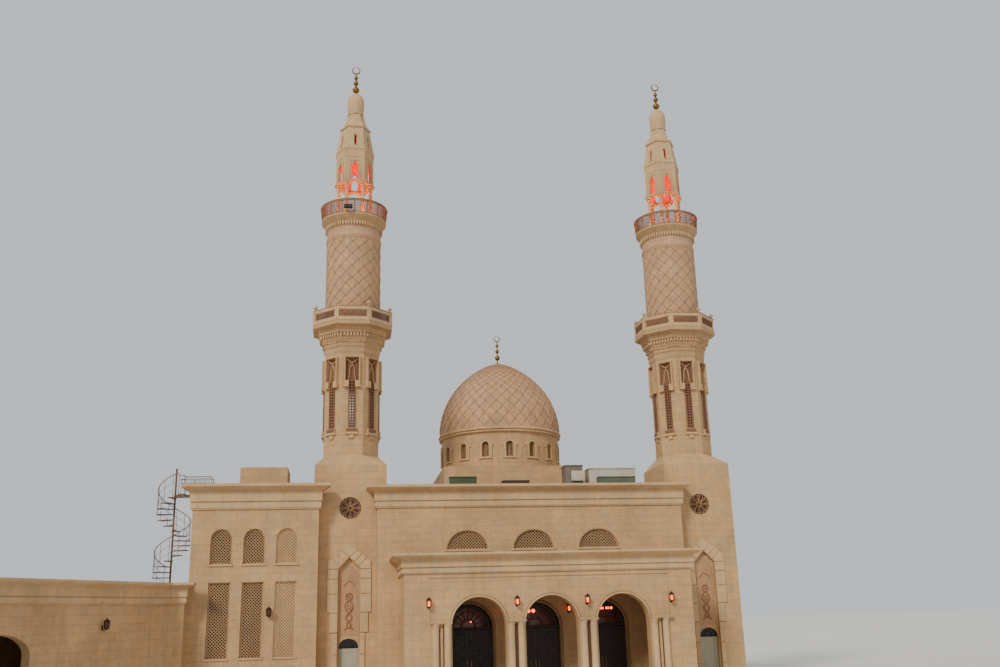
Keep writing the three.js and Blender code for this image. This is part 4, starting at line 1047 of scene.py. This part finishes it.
# ---------------------------------------------------------------- lower balcony
corbel = lathe([(.935, 15.151), (1.25, 15.151), (1.25, 15.22), (1.268, 15.25), (1.262, 15.28), (1.276, 15.46), (1.31, 15.49), (1.315, 15.53), (1.292, 15.55),
                (1.315, 15.66), (1.35, 15.68), (1.355, 15.785), (1.39, 15.80), (1.405, 15.83), (1.405, 15.90), (1.43, 15.915), (1.44, 16.085),
                (1.54, 16.11), (1.55, 16.15), (1.54, 16.17), (1.57, 16.235), (1.60, 16.29), (1.61, 16.35), (1.68, 16.368), (1.79, 16.40),
                (1.838, 16.41), (1.843, 16.56), (1.83, 16.575), (1.80, 16.58), (1.745, 16.58), (1.745, 16.519), (.935, 16.519)], 8, closed=True, flat=True, turn=OCT)
side, dark_side, lat = [], [], []
for k in range(8):
    x = (k - 3.5) * .152
    side.append(plate([(x - .037, 16.085), (x - .037, 15.97), (x, 15.925), (x + .037, 15.97), (x + .037, 16.085)], -1.525, -1.425))
for s in (-1, 1):
    for q in (.30, .40, .50):
        side.append(block(s * q - .025, s * q + .025, -1.40, -1.35, 15.70, 15.79, .005))
side.append(block(-.735, .735, -1.838, -1.752, 16.585, 16.738, .008))
side.append(block(-.735, .735, -1.840, -1.750, 17.118, 17.236, .008))
dark_side.append(block(-.745, .745, -1.844, -1.745, 17.24, 17.283, .004))
side.append(sweep(flatline(rect(-.592, .592, 16.752, 17.104), -1.79), strip(.022, .03), closed=True))
lat += lattice(rect(-.585, .585, 16.745, 17.112), .064, .024, .03, -1.785)
post_ = []
R8 = 1.76 / math.cos(OCT)
for k in range(8):
    a = OCT + k * math.pi / 4
    x, y = R8 * math.cos(a), R8 * math.sin(a)
    b = block(-.10, .10, -.082, .082, 16.585, 17.287, .012)
    b = turned(b, math.degrees(a) - 90)
    post_.append(moved(b, x * .986, y * .986))
    cap = lathe([(.085, 17.287), (.09, 17.30), (.05, 17.325), (.034, 17.35), (.034, 17.365)] + [q for q in ball(.095, 17.45, 12) if q[0] > .034] + [(.02, 17.546), (0, 17.57)], 14)
    post_.append(moved(cap, x * .986, y * .986))
on_towers("lower_corbel", [corbel], M_BAND, "lower_balcony")
on_towers("lower_balcony_rails", around(side, 8) + post_, M_CARVED)
on_towers("lower_balcony_coping", around(dark_side, 8), M_DARKER)
on_towers("lower_balcony_lattices", around(lat, 8), M_GRILLE)

# ---------------------------------------------------------------- round shaft
shaft = lathe([(.95, 16.521), (1.34, 16.521), (1.34, 16.60), (1.31, 16.625), (1.286, 16.64), (1.286, 20.88), (1.30, 20.90), (1.32, 20.93), (1.312, 20.96), (1.318, 20.985),
               (1.335, 21.01), (1.33, 21.05), (1.305, 21.065), (1.29, 21.09), (1.292, 21.535), (.95, 21.535)], 72, closed=True)
net, boss = [], []
Z0N, Z1N, LEAD = 16.63, 20.90, 1.330
ref = -3.3 * DEG
zz = np.linspace(Z0N, Z1N, 45)
for s in (1, -1):
    for k in range(14):
        th = ref + 2 * math.pi * k / 14 + s * (zz - 20.064) / LEAD
        pts = np.stack([1.286 * np.sin(th), -1.286 * np.cos(th), zz], 1)
        nrm = np.stack([np.sin(th), -np.cos(th), np.zeros_like(th)], 1)
        net.append(sweep(pts, [(-.018, -.004), (.018, -.004), (.010, .020 if s > 0 else .0185), (-.010, .020 if s > 0 else .0185)], nrm))
dz = .597 / 2
for j in range(-12, 3):
    z = 20.064 + j * dz
    if not Z0N + .05 < z < Z1N - .03:
        continue
    for k in range(14):
        a = ref + 2 * math.pi * k / 14 + (math.pi / 14 if j % 2 else 0)
        p = lathe([(.05, .004), (.047, -.020), (.03, -.032), (0, -.036)], 8)
        p = ([(x, z_, y) for x, y, z_ in p[0]], p[1])
        boss.append(turned(moved(p, 0, -1.286, z), math.degrees(a)))
on_towers("round_shaft_stone", [shaft], M_ROUND, "round_shaft")
on_towers("shaft_net", net, M_RIB, sharp=60)
on_towers("shaft_net_bosses", boss, M_BOSS)

# ---------------------------------------------------------------- upper balcony
tray = lathe([(.5, 21.90), (.96, 21.541), (1.31, 21.541), (1.318, 21.60), (1.335, 21.72), (1.372, 21.745), (1.388, 21.775), (1.42, 21.80), (1.472, 21.87), (1.523, 21.93),
              (1.552, 21.965), (1.568, 21.985), (1.568, 22.06), (1.552, 22.08), (1.495, 22.085), (1.495, 22.12), (.5, 22.12)], 72, closed=True)
dent = []
for k in range(64):
    p = plate([(-.038, 21.735), (-.038, 21.60), (0, 21.49), (.038, 21.60), (.038, 21.735)], -1.392, -1.30)
    dent.append(turned(p, 360 * k / 64))


def flared(part):
    """The parapet leans out by 55 mm over its height."""
    return [(x, y - .055 * (z - 22.06) / .70, z) for x, y, z in part[0]], part[1]


para, plat = [], []
RB = 1.522
for k in range(16):
    bits = []
    w = math.pi * RB / 16
    bits.append(block(-.024, .024, -.046, .012, 22.06, 22.665, .006))
    for z0, z1, y0, y1 in ((22.06, 22.115, -.045, .01), (22.66, 22.71, -.05, .015)):
        for i in range(4):
            x0 = w * (2 * i / 4) + .001
            bits.append(block(x0, x0 + w / 2 - .0005, y0, y1, z0, z1))
    para += [turned(wrapped(flared(p), RB), 360 * k / 16) for p in bits]
    lt = lattice(rect(-w + .02, w - .02, 22.112, 22.663), .082, .024, .026, -.008, segs=3)
    plat += [turned(wrapped(flared(p), RB), 360 * (k + .5) / 16) for p in lt]
para.append(lathe([(1.565, 22.713), (1.632, 22.713), (1.638, 22.735), (1.622, 22.76), (1.572, 22.76), (1.56, 22.735)], 72, closed=True))
on_towers("upper_tray", [tray], M_BAND, "upper_balcony")
on_towers("upper_dentils", dent, M_CARVED)
on_towers("upper_parapet", para, M_PARA)
on_towers("upper_parapet_lattice", plat, M_GRILLE)
horn = [block(-.50, -.10, -1.80, -1.64, 22.17, 22.36, .02), block(-.47, -.13, -1.815, -1.79, 22.195, 22.335, .008), block(-.33, -.27, -1.66, -1.56, 22.24, 22.29)]
on_towers("loudspeaker", horn, M_UNITD, sides=("left",))

# ---------------------------------------------------------------- lantern
C30 = math.cos(HEX)
lan, glow, caps = [], [], []
for k in range(6):
    a = 60 * k
    p = lathe([(.125, 22.121), (.125, 22.17), (.108, 22.19), (.122, 22.215), (.113, 22.25), (.091, 22.28), (.089, 23.1), (.085, 23.745), (.098, 23.76), (.10, 23.78), (.086, 23.795),
               (.09, 23.835), (.112, 23.90), (.127, 23.935), (.127, 23.96)], 14)
    x, y = .785 * math.cos(a * DEG), .785 * math.sin(a * DEG)
    caps.append(moved(p, x, y))
# impost blocks bent round each vertex, with gaps at the faces' middles
for k in range(6):
    a = 60 * k
    for s in (-1, 1):
        x0, x1 = sorted((s * .11, s * .485))
        caps.append(turned(block(x0, x1, -.848, -.56, 23.955, 24.028, .008), a))
ringp = lathe([(.60, 24.031), (.855, 24.031), (.868, 24.045), (.874, 24.075), (.868, 24.10), (.85, 24.118), (.60, 24.12)], 6, closed=True, flat=True)
lan.append(ringp)


def hexface(pts, y_in, y_out):
    """A leaf of the drum's wall: x beyond 5 means the face's edge, and the wall leans as the drum does."""
    def place(x, z, off):
        ap = C30 * (.935 - .03 * (z - 24.14) / 1.6) if z < 25.8 else C30 * (.93 - .20 * (z - 25.87) / 1.11)
        ap -= off
        e = ap * math.tan(HEX)
        x = math.copysign(e, x) if abs(x) > 5 else x
        return (x, -ap, z)
    n = len(pts)
    v = [place(x, z, y_out) for x, z in pts] + [place(x, z, y_in) for x, z in pts]
    f = [tuple(range(n)), tuple(range(2 * n - 1, n - 1, -1))] + [(i, (i + 1) % n, n + (i + 1) % n, n + i) for i in range(n)]
    return v, f


slot_arc = [(-.165, 24.77), (-.15, 24.86), (-.11, 24.955), (-.05, 25.037), (0, 25.08), (.05, 25.037), (.11, 24.955), (.15, 24.86), (.165, 24.77)]
drum = []
drum.append(hexface([(-9, 24.121), (-.165, 24.121)] + slot_arc + [(.165, 24.121), (9, 24.121), (9, 25.74), (-9, 25.74)], .09, 0))
upper_hole = [(-.055, 26.02), (-.055, 26.51), (-.036, 26.575), (0, 26.63), (.036, 26.575), (.055, 26.51), (.055, 26.02)]
drum.append(hexface([(-9, 25.87), (9, 25.87), (9, 26.02), (-9, 26.02)], .08, 0))
drum.append(hexface([(-9, 26.02)] + upper_hole + [(9, 26.02), (9, 26.94), (-9, 26.94)], .08, 0))


def on_face(part, extra=0.0):
    """Flat work laid on the drum's leaning wall."""
    out_ = []
    for x, y, z in part[0]:
        ap = C30 * (.935 - .03 * (z - 24.14) / 1.6) if z < 25.8 else C30 * (.93 - .20 * (z - 25.87) / 1.11)
        out_.append((x, y - ap, z))
    return out_, part[1]


orn = []
st_frame = [(-.25, 24.125), (-.25, 24.89), (-.20, 24.89), (-.20, 25.14), (.20, 25.14), (.20, 24.89), (.25, 24.89), (.25, 24.125)]
orn.append(on_face(sweep(flatline(st_frame, 0), strip(.04, .03))))
orn.append(on_face(sweep(flatline([(-.165, 24.125)] + slot_arc + [(.165, 24.125)], 0), roll(.03, .024))))
orn.append(on_face(sweep(flatline([(-.33, 25.34), (.33, 25.34)], 0), strip(.025, .018))))
mo = [(-.105, 26.49), (-.075, 26.62), (0, 26.73), (.075, 26.62), (.105, 26.49)]
orn.append(on_face(sweep(flatline(mo, 0), roll(.035, .03))))
orn.append(on_face(sweep(flatline([(-.085, 26.0), (.085, 26.0)], 0), roll(.035, .03))))
# the drum's inner side, pierced by the same slots; it glows red though it is no lamp: painted light for the floodlit
# inside of the drum
glow.append(hexface([(-9, 24.121), (-.165, 24.121)] + slot_arc + [(.165, 24.121), (9, 24.121), (9, 25.70), (-9, 25.70)], .104, .094))
lan += around(drum, 6) + around(orn, 6)
lan.append(lathe([(.70, 25.741), (C30 * .907, 25.741), (C30 * .935, 25.765), (C30 * .955, 25.79), (C30 * .955, 25.82), (C30 * .938, 25.845), (C30 * .93, 25.869), (.70, 25.869)], 6, closed=True, flat=True))
for k in range(6):
    # drop-shaped brackets on the corners below the break
    p = lathe([(0, 25.47), (.018, 25.51), (.045, 25.61), (.055, 25.68), (.05, 25.74), (.0, 25.75)], 10)
    a = 60 * k * DEG
    caps.append(moved(p, .905 * math.cos(a), .905 * math.sin(a)))
lan.append(lathe([(.50, 26.941), (C30 * .735, 26.941), (C30 * .70, 27.02), (C30 * .76, 27.05), (C30 * .785, 27.08), (C30 * .785, 27.14), (C30 * .74, 27.17), (C30 * .70, 27.20),
                  (C30 * .63, 27.29), (C30 * .56, 27.42), (C30 * .50, 27.57), (C30 * .45, 27.75), (C30 * .41, 27.90), (C30 * .40, 27.93), (.20, 27.93)], 6, closed=True, flat=True))
bulb = smooth_profile([(.384, 28.06), (.40, 28.18), (.413, 28.33), (.423, 28.64), (.402, 28.85), (.324, 29.04), (.183, 29.165), (.062, 29.205)], 4)
lan.append(lathe([(.2, 27.925), (.375, 27.925), (.408, 27.95), (.413, 27.985), (.403, 28.02), (.384, 28.04)] + bulb + [(0, 29.21)], 36))
on_towers("lantern_stone", lan, M_CARVED, "lantern")
on_towers("lantern_columns", caps, M_CARVED)
on_towers("lantern_inner_side_painted_glow", around(glow, 6), M_PAINTED_GLOW)
# floodlights on the balcony's floor, each with a hood behind it
flood, hood = [], []
for k in range(6):
    a = 60 * k + 30
    flood.append(turned(block(-.075, .075, -1.205, -1.15, 22.15, 22.25, .01), a))
    hood.append(turned(block(-.09, .09, -1.25, -1.207, 22.121, 22.27, .01), a))
    hood.append(turned(block(-.02, .02, -1.20, -1.16, 22.121, 22.149), a))
on_towers("lantern_floodlights", flood, M_FLOOD)
on_towers("floodlight_hoods", hood, M_UNITD)

# ---------------------------------------------------------------- roof units and roof lights
cream, brown = [], []
kerb = [block(2.1, 5.9, -6.0, -4.7, 8.601, 8.75, .01)]
brown.append(block(2.24, 3.08, -5.85, -4.9, 8.751, 10.16, .02))
brown.append(block(2.21, 3.11, -5.88, -4.87, 10.161, 10.21, .01))
cream.append(block(2.49, 3.16, -6.0, -5.885, 9.43, 9.91, .012))
cream.append(block(2.53, 3.12, -6.012, -5.999, 9.47, 9.87, .006))
cream.append(block(3.39, 5.69, -5.9, -4.8, 8.751, 10.0, .025))
cream.append(block(3.36, 5.72, -5.93, -4.77, 10.001, 10.06, .012))
cream.append(rod((3.085, -5.3, 9.35), (3.40, -5.3, 9.35), .14, 14))
for x in (4.155, 4.925):
    cream.append(block(x - .012, x + .012, -5.912, -5.899, 8.78, 9.98))
piece("roof_unit_kerb", kerb, M_SCREED)
piece("roof_units_cream", cream, M_UNIT, replaces=("roof_units",))
piece("roof_unit_brown", brown, M_UNITB)
rk = [block(-3.62, 5.26, -7.6, -6.9, 8.601, 8.72, .01)]
gl, gd, gm = [], [], []
for x0, x1, z1, kind in ((-3.555, -2.305, 9.46, gl), (-1.105, .14, 9.275, gm), (3.44, 5.18, 9.425, gd)):
    kind.append(block(x0, x1, -7.5, -7.0, 8.721, z1 - .05, .02))
    kind.append(block(x0 - .015, x1 + .015, -7.515, -6.985, z1 - .049, z1, .01))
piece("roof_light_kerb", rk, M_SCREED, replaces=("roof_lights",))
piece("roof_light_green", gl, M_GREEN)
piece("roof_light_dark", gd, M_GREEND)
piece("roof_light_brown", gm, M_LIDB)

# ---------------------------------------------------------------- stair rail
SX, SY, SR, RISE, A_ROOF = -15.55, -7.30, .715, .222, 4.6
rail, thin = [], []
hel, hn, mid_, low_ = [], [], [], []
for i in range(17 * 4 + 1):
    k = i / 4
    a = (30 * k - 240) * DEG
    z = A_ROOF + RISE * (k + 1)
    p = (SX + SR * math.cos(a), SY + SR * math.sin(a))
    hel.append((*p, z + .95 - (.0)))
    mid_.append((*p, z + .60))
    low_.append((*p, z + .28))
    hn.append((math.cos(a), math.sin(a), 0))
rail.append(sweep(hel, tube(.018, 8), hn))
thin += [sweep(mid_, tube(.008, 6), hn), sweep(low_, tube(.008, 6), hn)]
for k in range(18):
    a = (30 * k - 240) * DEG
    z = A_ROOF + RISE * (k + 1)
    x, y = SX + SR * math.cos(a), SY + SR * math.sin(a)
    thin.append(rod((x, y, z + .001), (x, y, z + .95), .010, 8))
LZ = A_ROOF + RISE * 18 + .13
GZ = LZ + .77
X1, LX, RY, FY, LY = LEFT + .58, LEFT - .48, SY + .36, SY - .36, SY - .715
for z, r in ((GZ, .018), (GZ - .18, .010), (GZ - .40, .008)):
    rail.append(rod((SX + .15, RY, z), (X1, RY, z), r))
    rail.append(sweep([(SX + .23, LY, z), (LX - .03, LY, z), (LX - .03, FY, z), (X1, FY, z)], tube(r, 8), [(0, 0, 1)] * 4))
for x, y in ((SX + .17, RY), (SX + .76, RY), (X1 - .02, RY), (LX - .03, FY), (X1 - .02, FY), (SX + .24, LY), (LX - .03, LY)):
    thin.append(rod((x, y, LZ + .001), (x, y, GZ), .012, 8))
a = (30 * 17 - 240) * DEG
rail.append(sweep([(SX + SR * math.cos(a), SY + SR * math.sin(a), A_ROOF + RISE * 18 + .95), (SX + .24, LY, GZ + .10), (SX + .24, LY, GZ)], tube(.018, 8), [(0, -1, 0)] * 3))
for k in range(7):
    x = LX + .18 + k * .155
    thin += [rod((x, RY, LZ + .001), (x, RY, GZ), .006, 6), rod((x, FY, LZ + .001), (x, FY, GZ), .006, 6)]
piece("stair_handrails", rail, M_STEEL, replaces=("stair_rail",))
piece("stair_balusters", thin, M_STEEL)

# ---------------------------------------------------------------- lamps
met, lit, unlit = [], [], []


def wall_lantern(x, y, z, deg=0.0, on=True):
    """A six-sided lantern on a bracket, its wall behind it at y + .2."""
    body = [lathe([(.03, z - .20), (.05, z - .19), (.078, z - .165), (.096, z - .155), (.10, z - .13), (.03, z - .13)], 6, closed=True),
            lathe([(.03, z + .13), (.12, z + .13), (.124, z + .145), (.085, z + .19), (.04, z + .235), (.02, z + .245), (.028, z + .27), (.0, z + .30)], 6)]
    for k in range(6):
        a_ = 60 * k * DEG
        body.append(rod((.088 * math.cos(a_), .088 * math.sin(a_), z - .135), (.108 * math.cos(a_), .108 * math.sin(a_), z + .135), .008, 5))
    body.append(sweep([(0, 0, z - .19), (0, .04, z - .235), (0, .11, z - .245), (0, .165, z - .21), (0, .2, z - .15)], tube(.014, 6), [(1, 0, 0)] * 5))
    body.append(block(-.04, .04, .186, .2, z - .22, z - .04, .004))
    low = lambda part: ([(a, b, z + (c - z) * .84) for a, b, c in part[0]], part[1])
    met.extend(moved(turned(low(p), deg), x, y) for p in body)
    if on:
        g = lathe([(0, z - .129), (.04, z - .125), (.046, z - .06), (.046, z + .04), (.03, z + .08), (0, z + .095)], 12)
        lit.append(moved(turned(low(g), deg), x, y))
    else:
        g = lathe([(.08, z - .128), (.099, z + .128)], 6)
        unlit.append(moved(turned(low(g), deg), x, y))


for x in (-4.94, -1.43, 1.43, 4.94):
    wall_lantern(x, -12.30, 3.84)
wall_lantern(1.40, -8.98, 3.55)
wall_lantern(-1.40, -8.98, 3.55)
wall_lantern(-11.28, -8.98, 3.70, on=False)
AA = 60.85 * DEG
lx = (-16.945 + 15.24) * math.cos(AA) + (-12.72 + 9.6) * math.sin(AA)
p = (-15.24 + lx * math.cos(AA) + .2 * math.sin(AA), -9.6 + lx * math.sin(AA) - .2 * math.cos(AA))
wall_lantern(p[0], p[1], 3.38, 60.85, on=False)
# hanging lamps of the portico: a pair, a small one and a ring of eight
met.append(rod((-.60, -10.7, 3.62), (-.60, -10.7, 5.379), .010, 6))
met.append(rod((-.72, -10.7, 3.62), (-.48, -10.7, 3.62), .012, 6))
for x in (-.70, -.50):
    met.append(rod((x, -10.7, 3.56), (x, -10.7, 3.62), .008, 6))
    met.append(moved(lathe([(.025, 3.545), (.07, 3.545), (.05, 3.575), (.02, 3.59)], 12), x, -10.7))
    lit.append(moved(lathe(ball(.075, 3.468, 10), 16), x, -10.7))
met.append(rod((-2.98, -9.7, 3.13), (-2.98, -9.7, 5.379), .006, 6))
met.append(moved(lathe([(.01, 3.13), (.04, 3.13), (.02, 3.16)], 10), -2.98, -9.7))
lit.append(moved(lathe(ball(.035, 3.095, 8), 12), -2.98, -9.7))
x, y, z = 2.52, -10.7, 3.44
met.append(rod((x, y, z + .02), (x, y, 5.379), .010, 6))
ring = [(x + .30 * math.cos(t), y + .30 * math.sin(t), z) for t in np.linspace(0, 2 * math.pi, 33)[:-1]]
met.append(sweep(ring, tube(.014, 6), [(0, 0, 1)] * 32, closed=True))
for k in range(8):
    t = math.pi * k / 4
    px_, py_ = x + .30 * math.cos(t), y + .30 * math.sin(t)
    met.append(rod((px_, py_, z), (x, y, z + .42), .005, 5))
    lit.append(moved(lathe([(0, z + .012), (.03, z + .02), (.045, z + .06), (.03, z + .10), (0, z + .12)], 8), px_, py_))
piece("lamp_metalwork", met, M_BRONZE)
piece("lamp_glass_lit", lit, M_LAMP)
piece("lamp_glass_unlit", unlit, M_LAMPD)

# ---------------------------------------------------------------- stair head door
door = [block(-12.349, -11.451, -4.36, -4.30, 8.62, 9.89, .01)]
piece("stair_head_door", door, M_PAINT)
# ---------------------------------------------------------------- stage, light, camera
me = mesh_of("ground", [([(-400, -400, 0), (400, -400, 0), (400, 400, 0), (-400, 400, 0)], [(0, 1, 2, 3)])])
ground = bpy.data.objects.new("studio_ground", me)
bpy.context.scene.collection.objects.link(ground)
s = Shader("studio_floor")
s.link(s.blend(s.ramp(s.noise(.05, 3), .3, .7, 0.0, 1.0), lin((222, 219, 213)), lin((214, 211, 205))), s.bsdf.inputs["Base Color"])
s.bsdf.inputs["Roughness"].default_value = .95
me.materials.append(s.mat)

sun = bpy.data.lights.new("key", "SUN")
sun.energy, sun.angle, sun.color = 2.2, 12 * DEG, (1.0, .965, .91)
so = bpy.data.objects.new("key", sun)
so.rotation_euler = Vector((.52, .72, -.62)).to_track_quat("-Z", "Y").to_euler()
bpy.context.scene.collection.objects.link(so)
world = bpy.data.worlds.new("studio")
bpy.context.scene.world = world
world.use_nodes = True
world.node_tree.nodes["Background"].inputs["Color"].default_value = (.90, .93, .97, 1)
world.node_tree.nodes["Background"].inputs["Strength"].default_value = .75

YAW, PITCH, ROLL = 0.1619, 0.2791, -0.0286
fwd = Vector((math.sin(YAW) * math.cos(PITCH), math.cos(YAW) * math.cos(PITCH), math.sin(PITCH)))
right = Vector((math.cos(YAW), -math.sin(YAW), 0.0))
up = right.cross(fwd)
cam_x = right * math.cos(ROLL) + up * math.sin(ROLL)
cam_y = -right * math.sin(ROLL) + up * math.cos(ROLL)
cam_data = bpy.data.cameras.new("camera")
cam_data.sensor_width = 36.0
cam_data.lens = 35.47
cam_data.clip_start, cam_data.clip_end = 0.5, 900.0
camera = bpy.data.objects.new("camera", cam_data)
bpy.context.scene.collection.objects.link(camera)
camera.matrix_world = Matrix((
    (cam_x.x, cam_y.x, -fwd.x, -8.335),
    (cam_x.y, cam_y.y, -fwd.y, -52.187),
    (cam_x.z, cam_y.z, -fwd.z, 3.3),
    (0, 0, 0, 1)))
bpy.context.scene.camera = camera

bpy.context.view_layer.update()
